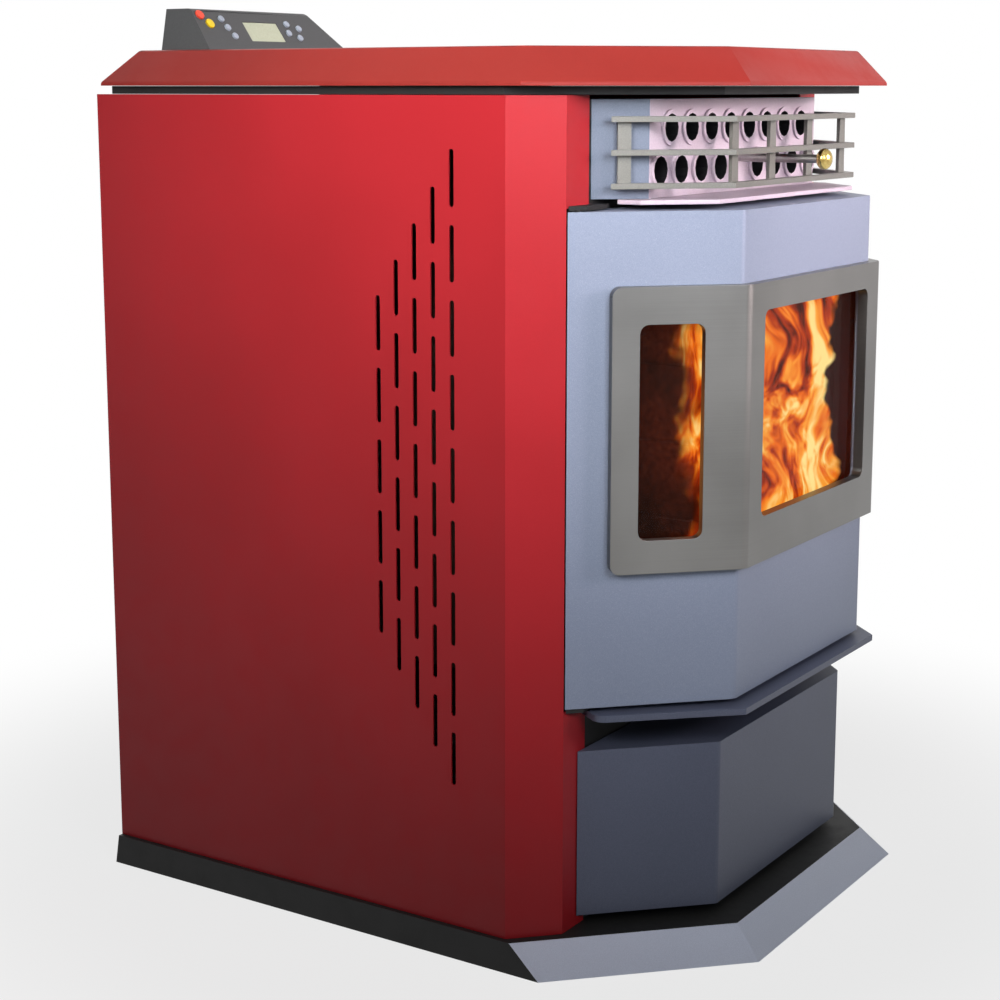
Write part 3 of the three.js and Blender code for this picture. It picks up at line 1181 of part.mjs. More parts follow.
function exhaustDuct() {
  const [x0, x1, y0] = [DUCT_LEFT, DUCT_RIGHT, FIRE_BACK + GAP];
  const duct = cut(box(x0, x1, y0, ductRear, DUCT_LOW, DUCT_HIGH),
    box(x0 + 2, x1 - 2, y0 + 2, ductRear - 2, DUCT_LOW + 2, DUCT_HIGH - 2));
  return cut(duct, box(x0 + 6, x1 - 6, y0 - 1, y0 + 3, FLUE_HOLE_LOW, DUCT_HIGH - 4),
    bar(FAN_EYE, [FAN_X, ductRear - 5, FAN_Z], [FAN_X, ductRear + 5, FAN_Z], 20));
}

function exhaustBlowerHousing() {
  const drop = FLUE_Z - FLUE_RADIUS - 4;
  const flip = (points) => points.map(([x, z]) => [x, 2 * FAN_Z - z]);
  const volute = (shrink) => flip(scroll(FAN_X, FAN_Z, FAN_INNER, FAN_OUTER, 2 * FAN_Z - FLUE_Z, shrink));
  const spout = (shrink) => rectangle(FLUE_X - FLUE_RADIUS - 3 + shrink, FLUE_X + FLUE_RADIUS + 3 - shrink,
    drop + shrink, FLUE_Z + FLUE_RADIUS + 4 - shrink);
  const rear = fanFront + FAN_DEPTH;
  const outer = join(alongY([volute(0)], fanFront, rear), alongY([spout(0)], fanFront, rear));
  const inner = join(alongY([volute(FAN_WALL)], fanFront + FAN_WALL, rear - FAN_WALL),
    alongY([spout(FAN_WALL)], fanFront + FAN_WALL, rear - FAN_WALL));
  return cut(outer, inner,
    bar(FAN_EYE, [FAN_X, fanFront - 1, FAN_Z], [FAN_X, fanFront + FAN_WALL + 1, FAN_Z], 20),
    bar(FAN_SHAFT + 1, [FAN_X, rear - FAN_WALL - 1, FAN_Z], [FAN_X, rear + 1, FAN_Z], 12),
    bar(FLUE_RADIUS - FLUE_WALL, [FLUE_X, rear - FAN_WALL - 1, FLUE_Z], [FLUE_X, rear + 1, FLUE_Z], 24));
}

function exhaustImpeller() {
  const front = fanFront + FAN_WALL + 5;
  const rear = fanFront + FAN_DEPTH - FAN_WALL - 5;
  let wheel = join(bar(IMPELLER, [FAN_X, rear - 2, FAN_Z], [FAN_X, rear, FAN_Z], 24),
    bar(9, [FAN_X, rear - 22, FAN_Z], [FAN_X, rear, FAN_Z], 12),
    bar(FAN_SHAFT, [FAN_X, rear - 4, FAN_Z], [FAN_X, fanFront + FAN_DEPTH + 18, FAN_Z], 12));
  for (let i = 0; i < IMPELLER_BLADES; i += 1) {
    const blade = new THREE.BoxGeometry(IMPELLER - 10, rear - front, 1.8);
    blade.translate((IMPELLER + 6) / 2, 0, 4);
    blade.rotateY(2 * Math.PI * i / IMPELLER_BLADES);
    blade.translate(FAN_X, (front + rear) / 2 - 1, FAN_Z);
    wheel = join(wheel, toSolid(blade));
  }
  return wheel;
}

function exhaustBlowerMotor() {
  const start = fanFront + FAN_DEPTH + GAP;
  const [radius, length] = FAN_MOTOR;
  const profile = [[0, 0], [radius - 6, 0], [radius - 6, 8], [radius, 8]];
  for (let i = 0; i < 2; i += 1) {
    const along = 16 + 18 * i;
    profile.push([radius, along], [radius - 3, along + 2], [radius - 3, along + 8], [radius, along + 10]);
  }
  profile.push([radius, length - 6], [radius - 5, length], [0, length]);
  return cut(turned(profile, [FAN_X, start, FAN_Z], [0, 1, 0], 16),
    bar(FAN_SHAFT + GAP, [FAN_X, start - 1, FAN_Z], [FAN_X, start + 20, FAN_Z], 12));
}

function pipe(radius, wall, x, z, from, to, collar) {
  const rear = CASE_BACK - SHEET;
  return turned([[radius - wall, from], [radius, from], [radius, rear], [radius + collar, rear],
    [radius + collar, rear + 3], [radius, rear + 3], [radius, to], [radius - wall, to], [radius - wall, from]],
  [x, 0, z], [0, 1, 0], 24);
}

const exhaustPipe = () => pipe(FLUE_RADIUS, FLUE_WALL, FLUE_X, FLUE_Z, fanFront + FAN_DEPTH + GAP, FLUE_REACH, 12);
const airPipe = () => pipe(AIR_RADIUS, 2, AIR_X, AIR_Z, FIRE_BACK - FIRE_WALL - 3, AIR_REACH, 10);

// ---------------------------------------------------------------- room air
function blowerHousing() {
  const outline = (shrink) => scroll(BLOWER_Y, BLOWER_Z, BLOWER_INNER, BLOWER_OUTER, BLOWER_TOP + shrink, shrink);
  return cut(alongX([outline(0)], BLOWER_LEFT, BLOWER_RIGHT),
    alongX([outline(2)], BLOWER_LEFT + 2, BLOWER_RIGHT - 2),
    bar(WHEEL - 8, [BLOWER_LEFT - 1, BLOWER_Y, BLOWER_Z], [BLOWER_LEFT + 3, BLOWER_Y, BLOWER_Z], 24),
    bar(5, [BLOWER_RIGHT - 3, BLOWER_Y, BLOWER_Z], [BLOWER_RIGHT + 1, BLOWER_Y, BLOWER_Z], 12));
}

function blowerWheel() {
  const [left, right] = [BLOWER_LEFT + 6, BLOWER_RIGHT - 6];
  const ring = (from, to, inner) => cut(
    bar(WHEEL, [from, BLOWER_Y, BLOWER_Z], [to, BLOWER_Y, BLOWER_Z], 24),
    ...(inner ? [bar(inner, [from - 1, BLOWER_Y, BLOWER_Z], [to + 1, BLOWER_Y, BLOWER_Z], 24)] : []));
  let wheel = join(ring(right - 2, right, 0), ring(left, left + 2, WHEEL - 9),
    bar(4, [right - 3, BLOWER_Y, BLOWER_Z], [BLOWER_RIGHT + 18, BLOWER_Y, BLOWER_Z], 12),
    bar(9, [right - 16, BLOWER_Y, BLOWER_Z], [right, BLOWER_Y, BLOWER_Z], 12));
  for (let i = 0; i < WHEEL_BLADES; i += 1) {
    const blade = new THREE.BoxGeometry(right - left - 2, 7.5, 1.2);
    blade.rotateX(0.6);
    blade.translate((left + right) / 2, 0, WHEEL - 4.2);
    blade.rotateX(2 * Math.PI * i / WHEEL_BLADES);
    blade.translate(0, BLOWER_Y, BLOWER_Z);
    wheel = join(wheel, toSolid(blade));
  }
  return wheel;
}

function blowerMotor() {
  const start = BLOWER_RIGHT + GAP;
  const [radius, length] = BLOWER_MOTOR;
  return cut(turned([[0, 0], [radius - 4, 0], [radius - 4, 5], [radius, 5], [radius, length - 8],
    [radius - 8, length], [0, length]], [start, BLOWER_Y, BLOWER_Z], [1, 0, 0], 20),
  bar(4 + GAP, [start - 1, BLOWER_Y, BLOWER_Z], [start + 20, BLOWER_Y, BLOWER_Z], 12));
}

function airDuct() {
  const front = FIRE_BACK + GAP;
  const rear = front + PLENUM_DEPTH;
  const riserFront = BLOWER_Y - BLOWER_OUTER;
  const riserRear = BLOWER_Y - BLOWER_INNER / DIAGONAL;
  const outer = join(
    box(PLENUM_LEFT, BLOWER_RIGHT, front, rear, PLENUM_LOW, PLENUM_HIGH),
    box(BLOWER_LEFT, BLOWER_RIGHT, riserFront, riserRear, BLOWER_TOP + GAP, PLENUM_LOW + 1));
  const inner = join(
    box(PLENUM_LEFT + 2, BLOWER_RIGHT - 2, front + 2, rear - 2, PLENUM_LOW + 2, PLENUM_HIGH - 2),
    box(BLOWER_LEFT + 2, BLOWER_RIGHT - 2, riserFront + 2, riserRear - 2, BLOWER_TOP, PLENUM_LOW + 3));
  return cut(outer, inner, box(-176, 176, front - 1, front + 3, LOWER_Z - TUBE_OUTER - 2, UPPER_Z + TUBE_OUTER + 2));
}

// ---------------------------------------------------------------- finishes
const finish = (color, roughness, metalness, extra = {}) => new THREE.MeshStandardMaterial({
  color, roughness, metalness, ...extra,
});
const FINISHES = {
  burgundy: () => finish(0xa02a33, 0.45, 0.1),
  red: () => finish(0xb4392f, 0.5, 0.1),
  slate: () => finish(0x7d8698, 0.4, 0.6),
  black: () => finish(0x2b2b2e, 0.6, 0.3),
  steel: () => finish(0xa9a7a2, 0.3, 1),
  tube: () => finish(0xb9aeb2, 0.4, 0.8),
  galvanised: () => finish(0x9aa0a3, 0.5, 0.9),
  castIron: () => finish(0x3a3836, 0.7, 0.7),
  brick: () => finish(0x5a3020, 0.95, 0),
  brass: () => finish(0xc9a64b, 0.25, 1),
  glass: () => finish(0x3a2a20, 0.05, 0, { transparent: true, opacity: 0.3 }),
  rope: () => finish(0x8d8a82, 0.95, 0),
  rubber: () => finish(0x222222, 0.8, 0),
  shell: () => finish(0x4c4c4b, 0.55, 0),
  screen: () => finish(0xb3b89c, 0.3, 0),
  startRed: () => finish(0xd5482e, 0.4, 0),
  stopYellow: () => finish(0xd8b916, 0.4, 0),
  keyGrey: () => finish(0x97a2ad, 0.5, 0),
};
const KEY_FINISH = { red: 'startRed', yellow: 'stopYellow', key: 'keyGrey' };

// ---------------------------------------------------------------- assembly
const stove = new THREE.Group();

function assembly(pieces) {
  const group = new THREE.Group();
  for (const [name, solid, look] of pieces) {
    const mesh = new THREE.Mesh(toGeometry(solid), FINISHES[look]());
    mesh.name = name;
    group.add(mesh);
  }
  stove.add(group);
}

// Casing
assembly([
  ['base_pedestal', basePedestal(), 'black'],
  ...FOOT_SPOTS.map(([name, x, y]) => [`levelling_foot_${name}`, levellingFoot(x, y), 'rubber']),
  ['side_panel_left', sidePanel(-1), 'burgundy'],
  ['side_panel_right', sidePanel(1), 'burgundy'],
  ['back_panel', backPanel(), 'black'],
  ['power_inlet', powerInlet(), 'rubber'],
  ['spacer_frame', spacerFrame(), 'black'],
  ['top_plate', topPlate(), 'red'],
]);

// Hopper lid
assembly([
  ['hopper_lid', hopperLid(), 'red'],
  ['hopper_lid_seal', lidSeal(), 'rubber'],
]);

// Control console
assembly([
  ['console_housing', consoleHousing(), 'shell'],
  ['console_screen', screenModule(), 'screen'],
  ...KEYS.map(([name, u, v, radius, look]) => [name, key(u, v, radius), KEY_FINISH[look]]),
]);

// Fire side
assembly([
  ['front_frame', frontFrame(), 'black'],
  ['firebox_shell', fireboxShell(), 'castIron'],
  ['fire_bricks_back', backBricks(), 'brick'],
  ['fire_bricks_left', sideBricks(-1), 'brick'],
  ['fire_bricks_right', sideBricks(1), 'brick'],
  ['burn_pot', burnPot(), 'castIron'],
  ['igniter', igniter(), 'steel'],
  ['heat_exchanger', heatExchanger(), 'tube'],
  ['louvre_grille', louvreGrille(), 'slate'],
  ['sill_plate', sillPlate(), 'tube'],
  ['ash_lip', ashLip(), 'black'],
]);

// Tube scraper
assembly([
  ['scraper', scraper(), 'steel'],
  ['scraper_knob', scraperKnob(), 'brass'],
]);

// Door
assembly([
  ['door_frame', doorFrame(), 'slate'],
  ['door_gasket', doorGasket(), 'rope'],
  ['door_pane_left', doorPane('left'), 'glass'],
  ['door_pane_front', doorPane('front'), 'glass'],
  ['door_pane_right', doorPane('right'), 'glass'],
  ['window_trim', windowTrim(), 'steel'],
]);
assembly([['latch_handle', latchHandle(), 'steel']]);

// Ash drawer
assembly([
  ['ash_drawer_front', ashDrawerFront(), 'slate'],
  ['ash_pan', ashPan(), 'galvanised'],
]);

// Fuel feed
assembly([
  ['hopper', hopper(), 'galvanised'],
  ['auger_tube', augerTube(), 'castIron'],
  ['auger_motor', augerMotor(), 'steel'],
]);
assembly([['auger_screw', augerScrew(), 'steel']]);

// Exhaust and combustion air
assembly([
  ['exhaust_duct', exhaustDuct(), 'galvanised'],
  ['exhaust_blower_housing', exhaustBlowerHousing(), 'castIron'],
  ['exhaust_blower_motor', exhaustBlowerMotor(), 'steel'],
  ['exhaust_pipe', exhaustPipe(), 'galvanised'],
  ['combustion_air_pipe', airPipe(), 'galvanised'],
]);
assembly([['exhaust_impeller', exhaustImpeller(), 'steel']]);

// Room air
assembly([
  ['room_blower_housing', blowerHousing(), 'galvanised'],
  ['room_blower_motor', blowerMotor(), 'steel'],
  ['room_air_duct', airDuct(), 'galvanised'],
]);
assembly([['room_blower_wheel', blowerWheel(), 'galvanised']]);

export default stove;
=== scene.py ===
"""Pellet stove with a bay door, dressed over its CAD frame. Metres, +Z up, front towards -Y."""
import math
import random

import bmesh
import bpy
from mathutils import Matrix, Vector


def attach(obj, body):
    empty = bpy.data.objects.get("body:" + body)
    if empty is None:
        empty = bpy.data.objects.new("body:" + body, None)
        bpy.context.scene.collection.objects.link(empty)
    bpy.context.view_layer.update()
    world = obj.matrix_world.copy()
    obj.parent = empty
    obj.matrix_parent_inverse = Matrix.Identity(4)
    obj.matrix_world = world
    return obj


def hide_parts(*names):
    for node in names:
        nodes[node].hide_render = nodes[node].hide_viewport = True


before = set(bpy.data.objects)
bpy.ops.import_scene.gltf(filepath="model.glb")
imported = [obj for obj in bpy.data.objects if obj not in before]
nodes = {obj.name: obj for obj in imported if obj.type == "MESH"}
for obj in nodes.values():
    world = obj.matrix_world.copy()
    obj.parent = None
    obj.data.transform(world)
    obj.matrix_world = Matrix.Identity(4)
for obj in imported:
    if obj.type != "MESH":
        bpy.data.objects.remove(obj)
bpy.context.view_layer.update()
MM = 0.001


def colour(red, green, blue):
    """A colour as a screen shows it, 0 to 255, in the renderer's linear values."""
    def linear(value):
        value /= 255
        return value / 12.92 if value <= 0.04045 else ((value + 0.055) / 1.055) ** 2.4
    return (linear(red), linear(green), linear(blue), 1)


# ------------------------------------------------------------------ shader maths
class Signal:
    """A socket's output, so that shader maths reads as arithmetic."""

    def __init__(self, finish, socket):
        self.finish = finish
        self.socket = socket

    def maths(self, operation, first, second):
        return self.finish.node("ShaderNodeMath", {"operation": operation}, {0: first, 1: second})

    def __add__(self, other):
        return self.maths("ADD", self, other)

    def __sub__(self, other):
        return self.maths("SUBTRACT", self, other)

    def __mul__(self, other):
        return self.maths("MULTIPLY", self, other)

    def __radd__(self, other):
        return self.maths("ADD", other, self)

    def __rsub__(self, other):
        return self.maths("SUBTRACT", other, self)

    def between(self, low, high):
        """0 below low, 1 above high and a smooth rise from one to the other."""
        return self.finish.node("ShaderNodeMapRange", {"interpolation_type": "SMOOTHSTEP"},
                                {"Value": self, "From Min": low, "From Max": high})


class Finish:
    """A node material for one finish of the stove."""

    def __init__(self, name, **settings):
        self.material = bpy.data.materials.new(name)
        self.material.use_nodes = True
        self.tree = self.material.node_tree
        self.surface = self.tree.nodes["Principled BSDF"]
        place = self.tree.nodes.new("ShaderNodeTexCoord")
        self.place = Signal(self, place.outputs["Object"])
        for socket, value in settings.items():
            self.set(socket.replace("_", " ").title().replace("Ior", "IOR"), value)

    def set(self, socket, value):
        if isinstance(value, Signal):
            self.tree.links.new(value.socket, self.surface.inputs[socket])
        else:
            self.surface.inputs[socket].default_value = value

    def node(self, kind, settings, inputs, output=0):
        made = self.tree.nodes.new(kind)
        for name, value in settings.items():
            if name == "stops":
                ramp = made.color_ramp
                while len(ramp.elements) < len(value):
                    ramp.elements.new(0.5)
                for element, (position, shade) in zip(ramp.elements, value):
                    element.position = position
                    element.color = shade
            else:
                setattr(made, name, value)
        for socket, value in inputs.items():
            if isinstance(value, Signal):
                self.tree.links.new(value.socket, made.inputs[socket])
            else:
                made.inputs[socket].default_value = value
        return Signal(self, made.outputs[output])

    def axis(self, letter):
        """One of the object coordinates, in metres."""
        return self.node("ShaderNodeSeparateXYZ", {}, {0: self.place}, letter)

    def stretched(self, x, y, z):
        return self.node("ShaderNodeVectorMath", {"operation": "MULTIPLY"}, {0: self.place, 1: (x, y, z)})

    def noise(self, scale, detail=3, roughness=0.55, vector=None, distortion=0.0):
        return self.node("ShaderNodeTexNoise", {"noise_dimensions": "3D"}, {
            "Vector": vector or self.place, "Scale": scale, "Detail": detail,
            "Roughness": roughness, "Distortion": distortion})

    def ramp(self, value, stops):
        return self.node("ShaderNodeValToRGB", {"stops": stops}, {"Fac": value})

    def mix(self, factor, first, second):
        return self.node("ShaderNodeMix", {"data_type": "RGBA"}, {0: factor, 6: first, 7: second}, 2)

    def bump(self, height, distance, strength=1.0, over=None):
        inputs = {"Height": height, "Distance": distance, "Strength": strength}
        if over:
            inputs["Normal"] = over
        return self.node("ShaderNodeBump", {}, inputs)


# ------------------------------------------------------------------ finishes
def powder_coat(name, main, deep, rough, coat, shine):
    """Baked paint: a fine orange peel, faint cloudiness and a few rubbed patches."""
    paint = Finish(name, coat_roughness=0.3, coat_weight=coat)
    paint.set("Specular IOR Level", shine)
    speck = paint.noise(1400, 2)
    cloud = paint.noise(5, 2)
    rub = paint.noise(38, 4, 0.65)
    tone = speck * 0.35 + cloud * 0.65
    paint.set("Base Color", paint.mix(tone.between(0.3, 0.7), deep, main))
    paint.set("Roughness", rub.between(0.35, 0.75) * 0.10 + (rough - 0.05))
    peel = paint.bump(paint.noise(500, 2), 0.0001, 0.3)
    paint.set("Normal", paint.bump(speck, 0.00008, 0.25, peel))
    return paint.material


def fleck_paint(name, main, deep, light, rough=0.42, metallic=0.12):
    """Metallic paint with fine flakes that catch the light."""
    paint = Finish(name, coat_weight=0.1, coat_roughness=0.35)
    paint.set("Specular IOR Level", 0.35)
    flake = paint.noise(2600, 1, 0.5)
    grain = paint.noise(1300, 2, 0.6)
    cloud = paint.noise(4, 2)
    body = paint.mix((grain * 0.6 + cloud * 0.4).between(0.32, 0.68), deep, main)
    spark = flake.between(0.62, 0.74)
    paint.set("Base Color", paint.mix(spark * 0.5, body, light))
    paint.set("Metallic", spark * 0.3 + metallic)
    paint.set("Roughness", rough + grain * 0.14)
    paint.set("Normal", paint.bump(grain, 0.0001, 0.25))
    return paint.material


def brushed_steel(name, main, deep, along=(4, 4, 2400), rough=0.28):
    """Stainless steel with a long satin grain."""
    steel = Finish(name, metallic=1.0)
    line = steel.noise(1, 4, 0.7, steel.stretched(*along))
    fine = steel.noise(1, 2, 0.6, steel.stretched(*(value * 2.4 for value in along)))
    smear = steel.noise(7, 3)
    steel.set("Base Color", steel.mix((line * 0.3 + smear * 0.7).between(0.3, 0.7), deep, main))
    steel.set("Roughness", rough + line * 0.10 + smear * 0.08)
    steel.set("Normal", steel.bump(line + fine, 0.00003, 0.2))
    return steel.material


def zinc_sheet():
    zinc = Finish("zinc sheet", metallic=0.9)
    cell = zinc.node("ShaderNodeTexVoronoi", {}, {"Vector": zinc.place, "Scale": 75.0}, "Color")
    spangle = zinc.node("ShaderNodeSeparateColor", {}, {0: cell}, 0)
    zinc.set("Base Color", zinc.mix(spangle, colour(138, 142, 144), colour(176, 180, 182)))
    zinc.set("Roughness", spangle * 0.2 + 0.36)
    zinc.set("Normal", zinc.bump(zinc.noise(60, 3), 0.0004, 0.2))
    return zinc.material


def cast_iron(name, main, ash=0.0):
    """Rough iron with a heat bloom, and a dusting of ash on what faces up."""
    iron = Finish(name, metallic=0.6)
    pits = iron.noise(260, 4, 0.7)
    bloom = iron.noise(9, 3)
    body = iron.mix(bloom.between(0.4, 0.7), main, colour(84, 66, 54))
    facing = iron.node("ShaderNodeNewGeometry", {}, {}, "Normal")
    up = iron.node("ShaderNodeSeparateXYZ", {}, {0: facing}, "Z")
    dust = up.between(0.3, 0.9) * iron.noise(60, 4).between(0.35, 0.6) * ash
    iron.set("Base Color", iron.mix(dust, body, colour(150, 142, 132)))
    iron.set("Roughness", pits * 0.2 + 0.58)
    iron.set("Normal", iron.bump(pits, 0.0008, 0.6))
    return iron.material


def fire_brick():
    brick = Finish("fire brick", specular_ior_level=0.25)
    grain = brick.noise(170, 5, 0.7)
    scorch = brick.noise(7, 4, 0.6)
    tint = brick.mix(grain.between(0.3, 0.7), colour(92, 42, 24), colour(140, 70, 40))
    soot = brick.mix(scorch.between(0.42, 0.68), tint, colour(46, 24, 17))
    brick.set("Base Color", soot)
    brick.set("Roughness", 0.86 + grain * 0.1)
    brick.set("Normal", brick.bump(grain + scorch, 0.0016, 0.7))
    return brick.material


def moulded_plastic(name, main, rough=0.5):
    shell = Finish(name)
    grain = shell.noise(700, 2)
    shade = tuple(value * 0.82 for value in main[:3]) + (1,)
    shell.set("Base Color", shell.mix(grain.between(0.35, 0.65), shade, main))
    shell.set("Roughness", rough + grain * 0.12)
    shell.set("Normal", shell.bump(grain, 0.0003, 0.35))
    return shell.material


def polished_brass():
    brass = Finish("polished brass", metallic=1.0)
    tarnish = brass.noise(90, 3)
    brass.set("Base Color", brass.mix(tarnish.between(0.45, 0.7), colour(214, 190, 120), colour(158, 132, 70)))
    brass.set("Roughness", tarnish * 0.2 + 0.1)
    return brass.material


def stove_glass(name, tint, haze_low, haze_span):
    glass = Finish(name, base_color=tint, roughness=0.03)
    glass.set("Specular IOR Level", 0.35)
    haze = glass.noise(14, 3)
    glass.set("Alpha", haze.between(0.4, 0.8) * haze_span + haze_low)
    return glass.material


def rope_seal():
    rope = Finish("rope seal")
    twist = rope.node("ShaderNodeTexWave", {"bands_direction": "DIAGONAL"}, {
        "Vector": rope.place, "Scale": 140.0, "Distortion": 1.5, "Detail": 2.0})
    weave = rope.node("ShaderNodeSeparateColor", {}, {0: twist}, 0)
    rope.set("Base Color", rope.mix(weave, colour(96, 92, 84), colour(152, 148, 138)))
    rope.set("Roughness", 0.9 + weave * 0.05)
    rope.set("Normal", rope.bump(weave, 0.001, 0.8))
    return rope.material


def wood_pellet():
    wood = Finish("wood pellet")
    grain = wood.noise(240, 4, 0.7)
    wood.set("Base Color", wood.mix(grain.between(0.3, 0.7), colour(128, 88, 52), colour(186, 144, 96)))
    wood.set("Roughness", 0.7 + grain * 0.2)
    wood.set("Normal", wood.bump(grain, 0.0006, 0.6))
    return wood.material


def glowing_ember():
    ember = Finish("glowing ember", emission_strength=1.6)
    heat = ember.noise(60, 4, 0.65)
    ember.set("Base Color", ember.mix(heat, colour(24, 20, 18), colour(70, 60, 54)))
    ember.set("Roughness", 0.9 + heat * 0.05)
    ember.set("Emission Color", ember.ramp(heat, [
        (0.40, (0, 0, 0, 1)), (0.52, colour(190, 40, 4)), (0.66, colour(255, 150, 30))]))
    return ember.material


def flame(name, shift, foot, top, clear=0.385, ends=None):
    """Licks of fire, clear between the licks, above top, below foot and past the two ends along X."""
    fire = Finish(name, base_color=(0, 0, 0, 1), roughness=1.0, emission_strength=1.25)
    fire.set("Specular IOR Level", 0.0)
    place = fire.node("ShaderNodeVectorMath", {"operation": "ADD"}, {0: fire.place, 1: shift})
    bend = fire.node("ShaderNodeTexNoise", {}, {"Vector": place, "Scale": 9.0, "Detail": 2.0}, "Color")
    bent = fire.node("ShaderNodeVectorMath", {"operation": "MULTIPLY_ADD"}, {
        0: bend, 1: (0.10, 0.10, 0.16), 2: place})
    licks = fire.node("ShaderNodeVectorMath", {"operation": "MULTIPLY"}, {0: bent, 1: (1.2, 1.2, 0.36)})
    body = fire.noise(26, 3, 0.5, licks, 0.6)
    strand = fire.noise(58, 2, 0.5, licks, 1.2)
    height = fire.axis("Z")
    heat = body * 0.62 + strand * 0.38
    fade = (1 - height.between(top - 0.12, top)) * height.between(foot, foot + 0.05)
    strength = heat - (1 - fade) * 0.35
    fire.set("Emission Color", fire.ramp(strength, [
        (0.30, colour(44, 12, 6)), (0.36, colour(74, 20, 8)), (0.42, colour(170, 50, 10)),
        (0.47, colour(232, 104, 18)), (0.53, colour(250, 160, 56)), (0.60, colour(255, 222, 140))]))
    cover = strength.between(clear, clear + 0.09)
    if ends:
        left, right = ends
        past_left = fire.axis("X") + (fire.noise(14, 3) - 0.5) * 0.05
        past_right = fire.axis("X") + (fire.noise(16, 3) - 0.5) * 0.07
        cover = cover * past_left.between(left, left + 0.012) * (1 - past_right.between(right, right + 0.006))
    fire.set("Alpha", cover)
    return fire.material


def screen_face():
    face = Finish("display window", coat_weight=0.8, coat_roughness=0.05)
    speck = face.noise(500, 1)
    face.set("Base Color", face.mix(speck, colour(150, 156, 130), colour(168, 174, 148)))
    face.set("Roughness", speck * 0.1 + 0.25)
    return face.material


BURGUNDY = powder_coat("burgundy panel paint", colour(168, 30, 38), colour(157, 25, 32), 0.42, 0.1, 0.2)
RED = powder_coat("red top paint", colour(140, 42, 36), colour(131, 37, 31), 0.5, 0.05, 0.16)
# Painted shade: slate made darker for the shade under the lid on the heat exchanger's header.
SHADED_HEADER_SLATE = fleck_paint("header slate painted darker for shade", colour(108, 117, 134), colour(95, 104, 120),
                           colour(150, 158, 172))
SLATE = fleck_paint("slate metallic paint", colour(134, 143, 163), colour(120, 129, 149), colour(186, 194, 206))
# Painted shade: slate made darker; on the ash drawer front it stands in for the ash lip's shadow, and the ash
# lip is dark slate too.
SHADED_DARK_SLATE = fleck_paint("dark slate paint with painted shade", colour(86, 91, 110), colour(72, 77, 94), colour(124, 128, 146))
# Painted light: slate made lighter for the light that the pedestal's bay gets from the floor and from above.
LIT_BASE_SLATE = fleck_paint("base slate painted lighter for light", colour(214, 219, 236), colour(200, 205, 222),
                         colour(230, 233, 242))
GRILLE = fleck_paint("grille steel paint", colour(120, 119, 113), colour(102, 101, 96),
                     colour(160, 160, 154), 0.36, 0.5)
BLACK = powder_coat("black stove paint", colour(28, 28, 28), colour(21, 21, 21), 0.6, 0.0, 0.25)
SILVER = fleck_paint("silver heat paint", colour(196, 182, 194), colour(176, 162, 174), colour(222, 214, 220))
# Painted shade: near black for the shade inside the hollow tube bores.
SHADED_BORE = powder_coat("tube bore painted dark for shade", colour(26, 26, 28), colour(16, 16, 18), 0.7, 0.0, 0.2)
STEEL = brushed_steel("brushed trim steel", colour(122, 121, 119), colour(107, 106, 104))
PLAIN_STEEL = brushed_steel("turned steel", colour(190, 188, 184), colour(150, 148, 146),
                            (500, 500, 500), 0.3)
ZINC = zinc_sheet()
IRON = cast_iron("firebox iron", colour(50, 46, 44), 0.8)
IRON_PLAIN = cast_iron("feed iron", colour(62, 60, 58))
BRICK = fire_brick()
BRASS = polished_brass()
GLASS = stove_glass("stove glass", colour(38, 24, 16), 0.10, 0.05)
# The right pane: red-brown glass, nearly opaque.
RED_BROWN_PANE_GLASS = stove_glass("red-brown near-opaque stove glass", colour(84, 26, 14), 0.93, 0.05)
ROPE = rope_seal()
RUBBER = moulded_plastic("black rubber", colour(34, 34, 34), 0.7)
SHELL = moulded_plastic("console plastic", colour(60, 61, 62), 0.45)
KEY_GREY = moulded_plastic("grey key", colour(150, 160, 172), 0.4)
START = moulded_plastic("red key", colour(222, 70, 44), 0.3)
STOP = moulded_plastic("yellow key", colour(226, 194, 24), 0.3)
SCREEN = screen_face()
WOOD = wood_pellet()
EMBER = glowing_ember()


# ------------------------------------------------------------------ building helpers
WELD = 2e-5                    # vertices nearer than this are one, in metres
FOLD_ANGLES = (15, 60)         # a sheet's folds meet at angles between these, in degrees
FOLD_SHORTEST = 0.05           # shorter edges aren't folds, in metres


def piece(name, shape, materials, body, smooth=30, weighted=True):
    """Turns a finished bmesh into an object at the origin that rides on a body."""
    mesh = bpy.data.meshes.new(name)
    shape.to_mesh(mesh)
    shape.free()
    for material in materials if isinstance(materials, (list, tuple)) else [materials]:
        mesh.materials.append(material)
    mesh.shade_smooth()
    mesh.set_sharp_from_angle(angle=math.radians(smooth))
    made = bpy.data.objects.new(name, mesh)
    bpy.context.scene.collection.objects.link(made)
    if weighted:
        normals = made.modifiers.new("even normals", "WEIGHTED_NORMAL")
        normals.keep_sharp = True
    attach(made, body)
    return made


def solid_copy(node):
    """A CAD solid as a bmesh, with its loose triangles merged into whole faces."""
    shape = bmesh.new()
    shape.from_mesh(nodes[node].data)
    bmesh.ops.remove_doubles(shape, verts=shape.verts, dist=WELD)
    bmesh.ops.dissolve_limit(shape, angle_limit=math.radians(1.0), verts=shape.verts, edges=shape.edges)
    return shape


def ease(shape, width, low, high=181.0, shortest=0.0, segments=2):
    """Rounds the edges whose faces meet at an angle between low and high degrees."""
    chosen = [edge for edge in shape.edges if len(edge.link_faces) == 2
              and low < math.degrees(edge.calc_face_angle(0)) < high and edge.calc_length() > shortest]
    if chosen:
        bmesh.ops.bevel(shape, geom=chosen, offset=width, segments=segments, profile=0.5,
                        affect="EDGES", clamp_overlap=True, material=-1)


